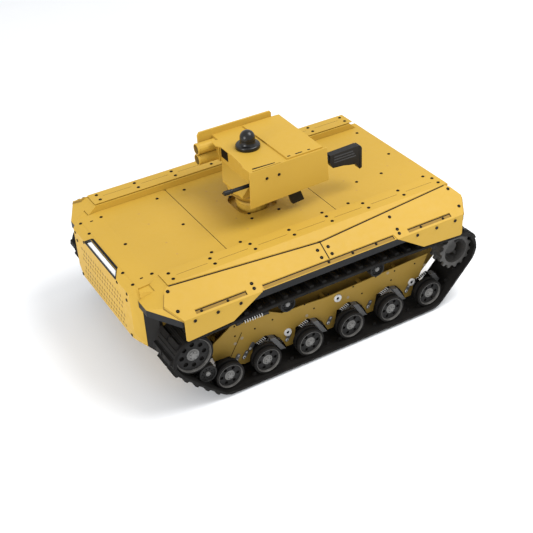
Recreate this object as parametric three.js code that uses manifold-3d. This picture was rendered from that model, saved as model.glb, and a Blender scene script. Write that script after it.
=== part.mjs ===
// Tracked tank chassis with a small remote turret.
// Millimetres. +X is forwards, +Y is the left side, +Z is up and the ground is Z 0.
import * as THREE from "three";
import { ConvexGeometry } from "three/addons/geometries/ConvexGeometry.js";
import { mergeVertices } from "three/addons/utils/BufferGeometryUtils.js";
import Module from "manifold-3d";

const wasm = await Module();
wasm.setup();

// Driving dimensions --------------------------------------------------------------------

const seat = 0.3; // space left between pieces that touch
const sheet = 4; // folded armour sheet
const boltHeadRadius = 8;
const boltHeadHeight = 3;
const socketRadius = 4.2;
const socketDepth = 1.8;

// Hull and armour, across the vehicle
const deckHalfWidth = 340;
const hullStep = 56; // from the deck's edge to the hull wall, under the armour
const hullToTrack = 10; // running space between the hull wall and the track
const trackWidth = 180;
const trackToSkirt = 8; // from the track's outer edge to the outside of the skirt
const railInset = 8; // from the deck's edge to the rail's inner edge
const railFlatWidth = 98;
const railGap = 4; // dark gap between the rail and the sponson, held by spacers
const railFlangeWidth = 44; // at the middle of the rail, running out to nothing at its ends
const armourSlope = 0.61; // fall per unit of width, outside the rail

// Hull and armour, along the vehicle
const bodyCentre = -6.5; // the seam between front and rear skirts
const armourHalfLength = 831;
const railFrontGap = 106.5; // from the rail's front end to the end of the armour
const railRearGap = 87.5;
const hullFrontGap = 12.5; // from the hull's front to the end of the armour
const hullRearGap = 37.5;
const noseDepth = 39.5;
const deckSeamFront = 360;
const deckSeamRear = -222;
const kneeToFront = 92; // the front plate slopes down over this length

// Heights
const deckTop = 572;
const deckFall = 0.094; // fall per unit of length in front of the knee
const railTop = 610;
const lipBottom = 476;
const lipHeight = 34;
const frontSlope = 0.88; // fall per unit of length, at the ends of the armour
const noseBottom = 262;
const bellyDrop = 7; // from the road wheels' axles down to the hull's belly
const hullWall = 6;

// Running gear
const beltThickness = 13.7;
const lugHeight = 13;
const lugPitch = 66;
const lugLength = 26;
const roadWheelRadius = 70;
const rearWheelX = -587;
const wheelPitch = 228.4;
const frontWheelGap = 195.2;
const idler = { x: 687, z: 290, radius: 94 };
const sprocket = { x: -734.4, z: 290, radius: 94, teeth: 14 };
const tensionRoller = { x: 627, z: 155.5, radius: 43.5 };
const returnRollers = [{ x: 208, z: 360, radius: 39 }, { x: -275, z: 360, radius: 39 }];
const wheelWidth = 50;
const wheelInset = 22; // from the track's outer edge to the wheel's outer face
const grooveWidth = 14; // where the track's guide horns run
const grooveDepth = 18;
const webDepth = 12; // from a wheel's outer face in to its web
const axleRadius = 12;
const armReach = 76; // from an arm's pivot to the wheel that it carries
const armPivotDrop = 9;
const armThickness = 18;
const pivotRadius = 11;
const sidePlateThickness = 6;
const armToPlate = 3;
const plateToWheel = 46;
const plateToSprocket = 10;

// Turret
const turret = { x: 60, y: 0 };
const wellHalf = 100;
const wellCorner = 50;
const wellDepth = 20;
const ringRadius = 76;
const tableRadius = 114;
const tableTop = 684;
const roofTop = 858;
const roofHalfWidth = 218;
const turretWall = 5;
const housing = { rear: -125, front: 130, left: 130, right: -150 };
const gunOffset = 176; // the gun's centre plane
const gunAxis = 774; // height of the barrel
const tubeRadius = 27;
const tubeBore = 23;
const tubeHeights = [824, 768];
const tubeOffset = -185;

// Sizes that follow from them -----------------------------------------------------------

const hullHalfWidth = deckHalfWidth + hullStep;
const trackInner = hullHalfWidth + hullToTrack;
const trackOuter = trackInner + trackWidth;
const skirtSide = trackOuter + trackToSkirt;
const armourSide = skirtSide - sheet - 3; // outside of the sponson, behind the skirt
const railInner = deckHalfWidth + railInset;
const railBend = railInner + railFlatWidth;
const slopeRise = Math.hypot(1, armourSlope); // a slope's thickness measured upright
const armourFront = bodyCentre + armourHalfLength;
const hullFront = armourFront - hullFrontGap;
const hullRear = bodyCentre - armourHalfLength + hullRearGap;
const deckRearEdge = hullRear + 10;
const deckKnee = hullFront - kneeToFront;
const trackBottom = beltThickness + lugHeight;
const wheelHeight = trackBottom + seat + roadWheelRadius;
const bellyHeight = wheelHeight - bellyDrop;
const roofBottom = roofTop - 6;
const deckBottom = deckTop - 6;
const deckHeight = (x) => deckTop - deckFall * Math.max(0, x - deckKnee);
const wheelOuter = trackOuter - wheelInset;
const wheelInner = wheelOuter - wheelWidth;
const plateOuter = wheelInner - plateToWheel;
const plateInner = plateOuter - sidePlateThickness;
const armOuter = plateInner - armToPlate;
const armInner = armOuter - armThickness;
const sprocketInner = plateOuter + plateToSprocket;

const roadWheels = [];
for (let i = 4; i >= 0; i -= 1) {
  roadWheels.push(rearWheelX + i * wheelPitch);
}
roadWheels.unshift(roadWheels[0] + frontWheelGap);

// Heights of the sloping armour at a distance y from the middle of the vehicle
const railSurface = (y) => railTop - armourSlope * (y - railBend);
const skirtSurface = (y) => railSurface(y) - sheet * slopeRise - 0.5;
const sponsonSurface = (y) => skirtSurface(y) - sheet * slopeRise - seat;

// Paints and metals ---------------------------------------------------------------------

function paint(color, roughness, metalness) {
  return new THREE.MeshStandardMaterial({ color, roughness, metalness });
}

const yellow = paint(0xe0b65a, 0.5, 0.0);
const darkMetal = paint(0x3b3a38, 0.6, 0.4);
const wheelGrey = paint(0x6a6864, 0.55, 0.3);
const rubber = paint(0x242324, 0.85, 0.0);
const black = paint(0x2a2826, 0.45, 0.1);
const lensWhite = paint(0xe9eef0, 0.2, 0.0);

// Solids --------------------------------------------------------------------------------

function solid(geometry) {
  const bare = new THREE.BufferGeometry();
  bare.setAttribute("position", geometry.attributes.position.clone());
  if (geometry.index) {
    bare.setIndex(geometry.index.clone());
  }
  const merged = mergeVertices(bare, 1e-4);
  const mesh = new wasm.Mesh({
    numProp: 3,
    vertProperties: new Float32Array(merged.attributes.position.array),
    triVerts: new Uint32Array(merged.index.array),
  });
  return new wasm.Manifold(mesh);
}

function surface(shape) {
  const mesh = shape.getMesh();
  const geometry = new THREE.BufferGeometry();
  geometry.setAttribute("position", new THREE.BufferAttribute(new Float32Array(mesh.vertProperties), 3));
  geometry.setIndex(new THREE.BufferAttribute(new Uint32Array(mesh.triVerts), 1));
  return geometry;
}

const join = (first, ...rest) => rest.reduce((sum, next) => sum.add(next), first);
const cut = (first, ...rest) => rest.reduce((sum, next) => sum.subtract(next), first);
const common = (first, ...rest) => rest.reduce((sum, next) => sum.intersect(next), first);

// The other side's copy of a geometry, mirrored in the vehicle's middle plane or end for end
function mirrored(geometry, sx, sy) {
  const copy = geometry.clone();
  const position = copy.attributes.position;
  for (let i = 0; i < position.count; i += 1) {
    const x = sx < 0 ? 2 * bodyCentre - position.getX(i) : position.getX(i);
    position.setXYZ(i, x, position.getY(i) * sy, position.getZ(i));
  }
  if (sx * sy < 0) {
    const index = copy.index.array;
    for (let i = 0; i < index.length; i += 3) {
      [index[i], index[i + 1]] = [index[i + 1], index[i]];
    }
  }
  return copy;
}

function extruded(points, depth, xAxis, yAxis, origin, holes = []) {
  const shape = new THREE.Shape(points.map(([u, v]) => new THREE.Vector2(u, v)));
  shape.holes = holes.map((hole) => new THREE.Path(hole.map(([u, v]) => new THREE.Vector2(u, v))));
  const geometry = new THREE.ExtrudeGeometry(shape, { depth, bevelEnabled: false });
  const zAxis = new THREE.Vector3().crossVectors(xAxis, yAxis);
  geometry.applyMatrix4(new THREE.Matrix4().makeBasis(xAxis, yAxis, zAxis).setPosition(origin));
  return solid(geometry);
}

const alongX = new THREE.Vector3(1, 0, 0);
const alongY = new THREE.Vector3(0, 1, 0);
const alongZ = new THREE.Vector3(0, 0, 1);

// An outline in the plan, the side or the front view, made solid between two planes
function planPrism(points, z0, z1, holes) {
  return extruded(points, z1 - z0, alongX, alongY, new THREE.Vector3(0, 0, z0), holes);
}

function sidePrism(points, y0, y1, holes) {
  return extruded(points, y1 - y0, alongX, alongZ, new THREE.Vector3(0, y1, 0), holes);
}

function frontPrism(points, x0, x1) {
  return extruded(points, x1 - x0, alongY, alongZ, new THREE.Vector3(x0, 0, 0));
}

function box(x0, x1, y0, y1, z0, z1) {
  return planPrism([[x0, y0], [x1, y0], [x1, y1], [x0, y1]], z0, z1);
}

function cylinder(radius, from, to, sides) {
  const start = new THREE.Vector3(...from);
  const end = new THREE.Vector3(...to);
  const geometry = new THREE.CylinderGeometry(radius, radius, start.distanceTo(end), sides);
  const turn = new THREE.Quaternion().setFromUnitVectors(alongY, end.clone().sub(start).normalize());
  geometry.applyQuaternion(turn);
  geometry.translate(...start.add(end).multiplyScalar(0.5).toArray());
  return solid(geometry);
}

function hull(points) {
  return solid(new ConvexGeometry(points.map((p) => new THREE.Vector3(...p))));
}

function circle(x, y, radius, count, from = 0) {
  const points = [];
  for (let i = 0; i < count; i += 1) {
    const angle = from + (2 * Math.PI * i) / count;
    points.push([x + radius * Math.cos(angle), y + radius * Math.sin(angle)]);
  }
  return points;
}

function roundedSquare(x, y, half, corner, steps) {
  const points = [];
  for (let side = 0; side < 4; side += 1) {
    const cx = x + (side === 0 || side === 3 ? 1 : -1) * (half - corner);
    const cy = y + (side < 2 ? 1 : -1) * (half - corner);
    for (let i = 0; i <= steps; i += 1) {
      const angle = (Math.PI / 2) * (side + i / steps);
      points.push([cx + corner * Math.cos(angle), cy + corner * Math.sin(angle)]);
    }
  }
  return points;
}

// Assembly ------------------------------------------------------------------------------

const vehicle = new THREE.Group();

function add(name, geometry, material) {
  const flat = geometry.toNonIndexed();
  flat.computeVertexNormals();
  const mesh = new THREE.Mesh(flat, material);
  mesh.name = name;
  vehicle.add(mesh);
}

// Adds a piece drawn for the left side, and its mirror image for the right side
function addPair(name, geometry, material) {
  add(`${name}_left`, geometry, material);
  add(`${name}_right`, mirrored(geometry, 1, -1), material);
}

// Hull tub: a welded box that is open on top under the deck plates
function hullTub() {
  const frontBevel = 52;
  const profile = (inset) => [
    [hullRear + inset, deckBottom - seat - inset],
    [hullRear + inset, 240 + inset / 2],
    [-640 + inset / 2, bellyHeight + inset],
    [640 - inset / 2, bellyHeight + inset],
    [hullFront - inset, noseBottom + inset / 2],
    [hullFront - inset, deckHeight(hullFront) - 6 - seat - inset],
    [deckKnee, deckBottom - seat - inset],
  ];
  const plan = (inset) => {
    const half = hullHalfWidth - inset;
    const shoulder = half - frontBevel + 12;
    return [
      [hullRear + inset, -half],
      [hullFront - frontBevel, -half],
      [hullFront - inset, -shoulder],
      [hullFront - inset, shoulder],
      [hullFront - frontBevel, half],
      [hullRear + inset, half],
    ];
  };
  const shell = (inset) => common(
    sidePrism(profile(inset), -hullHalfWidth, hullHalfWidth),
    planPrism(plan(inset), 0, deckTop),
  );
  const mouth = deckHalfWidth - 40;
  const opening = box(hullRear + 40, hullFront - 40, -mouth, mouth, deckBottom - 60, deckTop);
  return cut(shell(0), shell(hullWall), opening);
}

// A button head with a six-sided socket, standing on a face between two points of its axis
function boltHead(from, to) {
  const [start, end] = [new THREE.Vector3(...from), new THREE.Vector3(...to)];
  const way = end.clone().sub(start).normalize();
  const sunk = end.clone().addScaledVector(way, -socketDepth);
  const socket = cylinder(socketRadius, sunk.toArray(), end.clone().add(way).toArray(), 6);
  return cut(cylinder(boltHeadRadius, from, to, 12), socket);
}

// Nose: a shallow pan on the hull's front, with a bevel that holds the light bar
const noseHalfWidth = deckHalfWidth - 20;
const noseChinHalfWidth = deckHalfWidth - 52;
const noseFlare = 18; // how far the nose's side spreads below the deck
const noseGap = 2.5; // between the nose and the sponsons
const noseFront = hullFront + noseDepth;
const bevelHeight = 25;
const lightGap = 1.2;
const noseTop = deckHeight(noseFront - bevelHeight);

function nosePan(inset) {
  const front = noseFront - inset;
  const back = hullFront + seat - (inset > 0 ? 1 : 0);
  const flareEdge = deckHalfWidth + noseFlare;
  const points = [];
  for (const side of [-1, 1]) {
    points.push([front - bevelHeight, side * (deckHalfWidth - 4 - inset), noseTop - inset * 1.4]);
    points.push([back, side * (deckHalfWidth + 1 - inset), deckHeight(back) - inset * 1.4]);
    points.push([front, side * (noseHalfWidth - inset), noseTop - bevelHeight - inset * 0.5]);
    points.push([front, side * (noseHalfWidth - inset), noseBottom + 72]);
    points.push([front, side * (noseChinHalfWidth - inset), noseBottom + 22 + inset]);
    points.push([back, side * (flareEdge - inset), lipBottom + 8]);
    points.push([back, side * (flareEdge - inset), noseBottom + inset]);
    points.push([front - 16, side * (noseChinHalfWidth - inset), noseBottom + inset]);
  }
  return hull(points);
}

// The light bar lies along the bevel; grow is how far each face stands out
function lightBar(grow, depth) {
  const points = [];
  const along = 6;
  const top = [noseFront - bevelHeight + along, noseTop - along];
  const bottom = [noseFront - along / 2, noseTop - bevelHeight + along / 2];
  for (const side of [-1, 1]) {
    for (const sink of [grow, -depth]) {
      points.push([top[0] - grow + sink, side * (152 + grow), top[1] + grow + sink]);
      points.push([bottom[0] + grow + sink, side * (170 + grow), bottom[1] - grow + sink]);
    }
  }
  return hull(points);
}

function nosePanel() {
  const shell = cut(nosePan(0), nosePan(5), lightBar(lightGap, 9));
  const bolts = [[286, 488], [286, 297]].flatMap(([y, z]) => [-1, 1].map((side) => (
    boltHead([noseFront - 4, side * y, z], [noseFront + boltHeadHeight, side * y, z])
  )));
  return join(shell, ...bolts);
}

// Deck plates, with their corners taken off where they meet
const seam = 1;
const seamCorner = 10;

function deckOutline(x0, x1, half) {
  return [
    [x0, -half + seamCorner], [x0 + seamCorner, -half], [x1 - seamCorner, -half], [x1, -half + seamCorner],
    [x1, half - seamCorner], [x1 - seamCorner, half], [x0 + seamCorner, half], [x0, half - seamCorner],
  ];
}

function deckFront() {
  const start = deckSeamFront + seam;
  const tip = deckHeight(hullFront);
  const plate = sidePrism([
    [start, deckBottom], [deckKnee, deckBottom], [hullFront, tip - 6],
    [hullFront, tip], [deckKnee, deckTop], [start, deckTop],
  ], -deckHalfWidth, deckHalfWidth);
  const half = deckHalfWidth;
  const taper = planPrism([
    [start, -half + seamCorner], [start + seamCorner, -half], [deckKnee, -half], [hullFront, -half + 4],
    [hullFront, half - 4], [deckKnee, half], [start + seamCorner, half], [start, half - seamCorner],
  ], deckBottom - 20, deckTop + 20);
  return common(plate, taper);
}

function deckMiddle() {
  const outline = deckOutline(deckSeamRear + seam, deckSeamFront - seam, deckHalfWidth);
  const plate = planPrism(outline, deckBottom, deckTop);
  const floor = deckTop - wellDepth;
  const square = (grow) => roundedSquare(turret.x, turret.y, wellHalf + grow, wellCorner + grow, 4);
  const pan = planPrism(square(4), floor - 4, deckTop);
  const well = planPrism(square(0), floor, deckTop + 1);
  return cut(join(plate, pan), well);
}

function deckRear() {
  return planPrism(deckOutline(deckRearEdge, deckSeamRear - seam, deckHalfWidth), deckBottom, deckTop);
}

// Shoulder rail: flat along the deck's edge, with a flange folded down over the skirts
const boltPitch = 200;
const firstBolt = 680.5;
const railBolts = Array.from({ length: 8 }, (_, i) => firstBolt - i * boltPitch);
const railFront = armourFront - railFrontGap;
const railRear = bodyCentre - armourHalfLength + railRearGap;

function shoulderRail() {
  const edge = railBend + railFlangeWidth;
  const section = [
    [railInner, railTop], [railInner, railTop - sheet], [railBend - 1, railTop - sheet],
    [edge + 1, railSurface(edge + 1) - sheet * slopeRise], [edge + 1, railSurface(edge + 1)],
    [railBend, railTop],
  ];
  const outline = [
    [railRear, railInner - 1], [railFront, railInner - 1], [railFront, railBend], [bodyCentre, edge],
    [railRear, railBend],
  ];
  return common(frontPrism(section, railRear, railFront), planPrism(outline, 0, railTop + 1));
}

// Sponson: the sheet box over the track, closed in front and behind, with a dark lower rim
const sponsonTop = railTop - sheet - railGap;
const cornerSweep = 91.5; // how far the plan corner is swept back at the side
const frontFaceEdge = deckHalfWidth + 90;
const endHeight = (u) => Math.min(sponsonTop, lipBottom + lipHeight + (armourHalfLength - u) * frontSlope);

function sponsonBlock(inset) {
  const side = armourSide - inset;
  const inner = deckHalfWidth + 2 + inset;
  const low = lipBottom - (inset > 0 ? 10 : 0);
  const top = sponsonTop - inset;
  const drop = inset * slopeRise;
  const flatEdge = railBend + (sponsonSurface(railBend) - sponsonTop) / armourSlope;
  const section = [
    [inner, low], [side, low], [side, sponsonSurface(side) - drop],
    [flatEdge - inset * 0.3, top], [inner, top],
  ];
  const end = armourHalfLength - inset;
  const foot = lipBottom + lipHeight - inset * 0.4;
  const run = (top - foot) / frontSlope;
  const lean = inset * 0.5;
  const profile = [];
  for (const dir of [1, -1]) {
    const corner = [[end - run, top], [end, foot], [end, low - 1]];
    if (dir < 0) {
      corner.reverse();
    }
    profile.push(...corner.map(([u, z]) => [bodyCentre + dir * u, z]));
  }
  const plan = [
    [bodyCentre - end, inner - 1], [bodyCentre + end, inner - 1], [bodyCentre + end, frontFaceEdge - lean],
    [bodyCentre + end - cornerSweep + lean, side], [bodyCentre - end + cornerSweep - lean, side],
    [bodyCentre - end, frontFaceEdge - lean],
  ];
  return common(
    frontPrism(section, bodyCentre - end, bodyCentre + end),
    sidePrism(profile, 0, armourSide + 1),
    planPrism(plan, low - 1, top + 1),
  );
}

function sponson() {
  const shell = cut(sponsonBlock(0), sponsonBlock(3));
  const spacers = railBolts.map((x) => {
    const foot = endHeight(Math.abs(x - bodyCentre) + 8) - 0.5;
    return box(x - 8, x + 8, railInner + 8, railBend - 8, foot, railTop - sheet - seat);
  });
  const tubRoom = box(
    hullRear - seat, hullFront + seat, deckHalfWidth, hullHalfWidth + seat, lipBottom - 11, deckBottom,
  );
  return cut(join(shell, ...spacers), tubRoom, nosePan(-noseGap));
}

// Skirt: the outer armour panel, drawn for the front of the left side
function skirt() {
  const u = (d) => bodyCentre + d;
  const inner = railBend + 2;
  const notchSide = skirtSide - 26;
  const notchEnd = 345;
  const end = armourHalfLength;
  const slopeOutline = [
    [u(seam), inner + 20], [u(end - 110.5), inner - 4], [u(end - 81), inner + 13], [u(end - 50), inner + 66],
    [u(end - 100.5), skirtSide],
    [u(notchEnd + 12), skirtSide], [u(notchEnd), notchSide], [u(seam), notchSide],
  ];
  const section = [
    [inner - 4, skirtSurface(inner - 4)], [inner - 4, skirtSurface(inner - 4) - sheet * slopeRise],
    [skirtSide - sheet, skirtSurface(skirtSide - sheet) - sheet * slopeRise],
    [skirtSide, skirtSurface(skirtSide) - sheet * slopeRise], [skirtSide, skirtSurface(skirtSide)],
  ];
  const slope = common(frontPrism(section, u(seam), u(end)), planPrism(slopeOutline, 0, railTop));
  const fold = skirtSurface(skirtSide);
  const drop = sidePrism([
    [u(notchEnd + 12), fold - 2], [u(end - 326), 417], [u(end - 109), 402], [u(end - 101), 410],
    [u(end - 100.5), fold - 2],
  ], skirtSide - sheet, skirtSide);
  const slot = planPrism([
    [u(424), notchSide - 2], [u(end - 162), notchSide - 2],
    [u(end - 162), notchSide + 17], [u(424), notchSide + 17],
  ], 0, railTop);
  const bolts = [end - 148, end - 256, end - 366].map((d) => (
    boltHead([u(d), skirtSide - 2, 496], [u(d), skirtSide + boltHeadHeight, 496])
  ));
  return join(cut(slope, slot), drop, ...bolts);
}

// Running gear --------------------------------------------------------------------------

// A turned piece about an axle along Y. The profile lists radius and distance across.
function turned(profile, x, z, sides) {
  const geometry = new THREE.LatheGeometry(profile.map(([r, y]) => new THREE.Vector2(r, y)), sides);
  geometry.translate(x, 0, z);
  return surface(solid(geometry));
}

function wheelProfile(radius, hubRadius, axleEnd) {
  const grooveStart = wheelInner + (wheelWidth - grooveWidth) / 2;
  const grooveEnd = grooveStart + grooveWidth;
  const rim = radius - 8;
  const web = wheelOuter - webDepth;
  return [
    [0, axleEnd], [axleRadius, axleEnd], [axleRadius, wheelInner], [radius, wheelInner],
    [radius, grooveStart], [radius - grooveDepth, grooveStart], [radius - grooveDepth, grooveEnd],
    [radius, grooveEnd], [radius, wheelOuter], [rim, wheelOuter], [rim, web], [hubRadius, web],
    [hubRadius, wheelOuter], [0, wheelOuter],
  ];
}

function rollerProfile(radius) {
  const outer = wheelOuter - 6;
  return [
    [0, hullHalfWidth + seat], [axleRadius, hullHalfWidth + seat], [axleRadius, wheelInner],
    [radius, wheelInner], [radius, outer], [radius - 8, outer], [radius - 8, outer - 10],
    [16, outer - 10], [16, outer], [0, outer],
  ];
}

// Drive sprocket: two toothed rings on a barrel, with a spoked hub
function driveSprocket() {
  const { x, z, radius, teeth } = sprocket;
  const root = radius - 13;
  const outline = [];
  for (let i = 0; i < teeth; i += 1) {
    for (const [part, r] of [[0.1, root], [0.3, radius], [0.55, radius], [0.75, root]]) {
      const angle = (2 * Math.PI * (i + part)) / teeth;
      outline.push([x + r * Math.cos(angle), z + r * Math.sin(angle)]);
    }
  }
  const bore = circle(x, z, root - 16, 20);
  const rings = [sprocketInner, wheelOuter - 18].map((y) => sidePrism(outline, y, y + 12, [bore]));
  const barrel = sidePrism(circle(x, z, root - 6, 20), sprocketInner + 8, wheelOuter - 14, [bore]);
  const hubEnd = wheelOuter - 44;
  const hub = cylinder(34, [x, sprocketInner + 8, z], [x, hubEnd, z], 14);
  const shaft = cylinder(axleRadius + 4, [x, hullHalfWidth + seat, z], [x, sprocketInner + 12, z], 10);
  const spokes = [0, 1, 2, 3, 4].map((i) => {
    const angle = (2 * Math.PI * i) / 5 + 0.3;
    const reach = root - 12;
    const end = [x + reach * Math.cos(angle), hubEnd - 12, z + reach * Math.sin(angle)];
    return cylinder(9, [x, hubEnd - 12, z], end, 6);
  });
  return surface(join(barrel, ...rings, hub, shaft, ...spokes));
}

// The belt's route: a tight loop round these circles, clockwise as seen from the left
const beltCircles = [
  { x: roadWheels[0], z: wheelHeight, radius: roadWheelRadius },
  tensionRoller,
  idler,
  ...returnRollers,
  sprocket,
  { x: rearWheelX, z: wheelHeight, radius: roadWheelRadius },
];

function beltSegments() {
  const count = beltCircles.length;
  const tangents = beltCircles.map((a, i) => {
    const b = beltCircles[(i + 1) % count];
    const distance = Math.hypot(b.x - a.x, b.z - a.z);
    const heading = Math.atan2(b.z - a.z, b.x - a.x);
    return heading - Math.PI / 2 + Math.asin((a.radius - b.radius) / distance);
  });
  const segments = [];
  for (let i = 0; i < count; i += 1) {
    const here = beltCircles[i];
    const next = beltCircles[(i + 1) % count];
    const from = tangents[(i + count - 1) % count];
    const turn = (tangents[i] - from + 4 * Math.PI) % (2 * Math.PI);
    segments.push({ arc: true, circle: here, from, turn, length: turn * (here.radius + seat) });
    const leave = tangents[i];
    const [start, end] = [here, next].map((c) => (
      [c.x + (c.radius + seat) * Math.cos(leave), c.z + (c.radius + seat) * Math.sin(leave)]
    ));
    const length = Math.hypot(end[0] - start[0], end[1] - start[1]);
    segments.push({ arc: false, start, end, leave, length });
  }
  return segments;
}

// A point on the belt's inner face at a distance along it, moved outwards by the offset
function beltPoint(segments, distance, offset) {
  const total = segments.reduce((sum, s) => sum + s.length, 0);
  let rest = ((distance % total) + total) % total;
  const piece = segments.find((s) => {
    if (rest <= s.length) {
      return true;
    }
    rest -= s.length;
    return false;
  });
  if (piece.arc) {
    const angle = piece.from + (piece.turn * rest) / Math.max(piece.length, 1e-9);
    const r = piece.circle.radius + seat + offset;
    return [piece.circle.x + r * Math.cos(angle), piece.circle.z + r * Math.sin(angle)];
  }
  const t = rest / piece.length;
  return [
    piece.start[0] + t * (piece.end[0] - piece.start[0]) + offset * Math.cos(piece.leave),
    piece.start[1] + t * (piece.end[1] - piece.start[1]) + offset * Math.sin(piece.leave),
  ];
}

function track() {
  const segments = beltSegments();
  const total = segments.reduce((sum, s) => sum + s.length, 0);
  const lugs = Math.round(total / lugPitch);
  const pitch = total / lugs;
  const outer = [];
  for (let i = 0; i < lugs; i += 1) {
    const s = i * pitch;
    outer.push(beltPoint(segments, s - lugLength / 2, beltThickness));
    outer.push(beltPoint(segments, s - lugLength / 2 + 4, beltThickness + lugHeight));
    outer.push(beltPoint(segments, s + lugLength / 2 - 4, beltThickness + lugHeight));
    outer.push(beltPoint(segments, s + lugLength / 2, beltThickness));
  }
  const inner = [];
  let start = 0;
  for (const piece of segments) {
    if (piece.arc) {
      const steps = Math.max(1, Math.ceil(piece.turn / 0.2));
      const clear = (piece.circle.radius + seat) * (1 / Math.cos(piece.turn / steps / 2) - 1);
      for (let i = 0; i <= steps; i += 1) {
        inner.push(beltPoint(segments, start + (piece.length * i) / steps, clear));
      }
    }
    start += piece.length;
  }
  return surface(sidePrism(outer, trackInner, trackOuter, [inner]));
}

// Swing arm: a flat link from a pivot pin in the hull wall to a road wheel
function swingArm(wheelX, dir) {
  const pivot = [wheelX + dir * armReach, wheelHeight - armPivotDrop];
  const around = (x, z, r, sign) => Array.from({ length: 7 }, (_, i) => {
    const angle = Math.PI * (-0.5 + i / 6);
    return [x + sign * r * Math.cos(angle), z + sign * r * Math.sin(angle)];
  });
  const wheelEnd = around(wheelX, wheelHeight, 20, -dir);
  const pivotEnd = around(pivot[0], pivot[1], 20, dir);
  const link = sidePrism([...wheelEnd, ...pivotEnd], armInner, armOuter);
  const onPivot = (y) => [pivot[0], y, pivot[1]];
  const pin = cylinder(pivotRadius, onPivot(hullHalfWidth + seat), onPivot(armInner + 2), 10);
  return surface(join(link, pin));
}

// Side plate: hangs over the arms, with a lobe at each arm pivot and an arch between lobes
function sidePlate() {
  const low = 48;
  const points = [];
  for (const x of roadWheels.slice(1).reverse()) {
    points.push([x - 138, 76], [x - 116, 116], [x - 80, 147], [x + 24, 140], [x + 32, 92]);
    points.push([x + 44, low], [x + 78, low]);
  }
  const lastLobe = roadWheels[1] + 86;
  const rear = rearWheelX - 1;
  const bottom = points.slice(3);
  const outline = [
    [rear - 50, 263], [rear, 140], ...bottom,
    [lastLobe + 30, 64], [lastLobe + 60, 126], [roadWheels[0] + 31, 130], [roadWheels[0] + 39, 183],
    [roadWheels[0] + 27, 228], [idler.x - 252, 302], [270, 293], [191, 249], [77, 249], [-49, 240],
  ];
  const plate = sidePrism(outline, plateInner, plateOuter);
  const bossHeight = 212;
  const bosses = [520, 330, 130, -60, -270, -480].map((x) => (
    cylinder(10, [x, hullHalfWidth + seat, bossHeight], [x, plateInner + 2, bossHeight], 8)
  ));
  return surface(join(plate, ...bosses));
}

// Turret --------------------------------------------------------------------------------

// The turning table stands in the deck's well and carries the housing
function turntable() {
  const floor = deckTop - wellDepth + seat;
  const profile = [
    [0, floor], [ringRadius, floor], [ringRadius, tableTop - 94], [ringRadius - 6, tableTop - 76],
    [tableRadius, tableTop - 36], [tableRadius, tableTop], [0, tableTop],
  ];
  const geometry = new THREE.LatheGeometry(profile.map(([r, z]) => new THREE.Vector2(r, z)), 20);
  geometry.rotateX(Math.PI / 2);
  geometry.translate(turret.x, turret.y, 0);
  return surface(solid(geometry));
}

function turretHousing() {
  const { rear, front, left, right } = housing;
  const base = tableTop + seat;
  const chin = turret.x + tableRadius + 2;
  const chinRight = -60;
  const profile = (inset) => [
    [rear + inset, base + inset], [chin - inset, base + inset], [chin - inset, base + 12],
    [front - inset, 745], [front - inset, roofBottom + 1], [rear + inset, roofBottom + 1],
  ];
  const plan = (grow) => planPrism([
    [rear - 1, right - grow], [front, right - grow], [chin + 1, chinRight - grow], [chin + 1, left + grow],
    [rear - 1, left + grow],
  ], base - 1, roofBottom + 2);
  const shell = cut(
    common(sidePrism(profile(0), right, left), plan(0)),
    common(sidePrism(profile(turretWall), right + turretWall, left - turretWall), plan(-turretWall)),
    cylinder(55, [turret.x, turret.y, base - 1], [turret.x, turret.y, base + turretWall + 1], 12),
  );
  const roofEdge = roofHalfWidth - 4;
  const tubesEdge = tubeOffset + tubeRadius + 4;
  const roof = planPrism([
    [-220, -roofEdge], [138, -roofEdge], [138, tubesEdge], [172, tubesEdge],
    [176, -108], [161, -84], [160, 20], [166, 115], [175, 152], [173, roofEdge], [-215, roofEdge],
  ], roofBottom, roofTop);
  const step = planPrism([
    [-222, -200], [-20, -200], [-26, roofEdge - 10], [-214, roofEdge - 10],
  ], roofTop - 1, roofTop + 7);
  const shield = sidePrism([
    [184, 676], [178, 858], [-228, 862], [-235, 690],
  ], roofEdge - 1, roofHalfWidth);
  const slit = box(12, 160, roofEdge - 8, roofEdge - 1, roofBottom - 1, roofTop + 1);
  const guard = sidePrism([
    [-187, 790], [214, 800], [214, 872], [204, 888], [-181, 888], [-187, 880],
  ], -roofHalfWidth - 6, -roofEdge + 1);
  const tubeWall = box(front - 6, front, -roofEdge, right + 1, 740, roofBottom + 1);
  return surface(join(shell, cut(roof, slit), step, shield, guard, tubeWall));
}

function launchTubes() {
  const back = housing.front + seat;
  const mouth = 242;
  const foot = tubeHeights[1] - tubeRadius - 1;
  const plate = box(
    back, back + 8, tubeOffset - tubeRadius, tubeOffset + tubeRadius + 3, foot, roofBottom - 1,
  );
  const along = (radius, x0, x1) => tubeHeights.map((z) => (
    cylinder(radius, [x0, tubeOffset, z], [x1, tubeOffset, z], 16)
  ));
  const tubes = along(tubeRadius, back + 4, mouth);
  const bores = along(tubeBore, back + 12, mouth + 1);
  return surface(cut(join(plate, ...tubes), ...bores));
}

function cameraDome() {
  const base = roofTop + seat;
  const profile = [[0, base], [57, base], [58, base + 12], [50, base + 22], [37, base + 24]];
  for (let i = 0; i <= 5; i += 1) {
    const angle = (Math.PI / 2) * (i / 5);
    profile.push([i === 5 ? 0 : 36 * Math.cos(angle), base + 50 + 36 * Math.sin(angle)]);
  }
  const geometry = new THREE.LatheGeometry(profile.map(([r, z]) => new THREE.Vector2(r, z)), 16);
  geometry.rotateX(Math.PI / 2);
  geometry.translate(turret.x, turret.y - 6, 0);
  return surface(solid(geometry));
}

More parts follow.
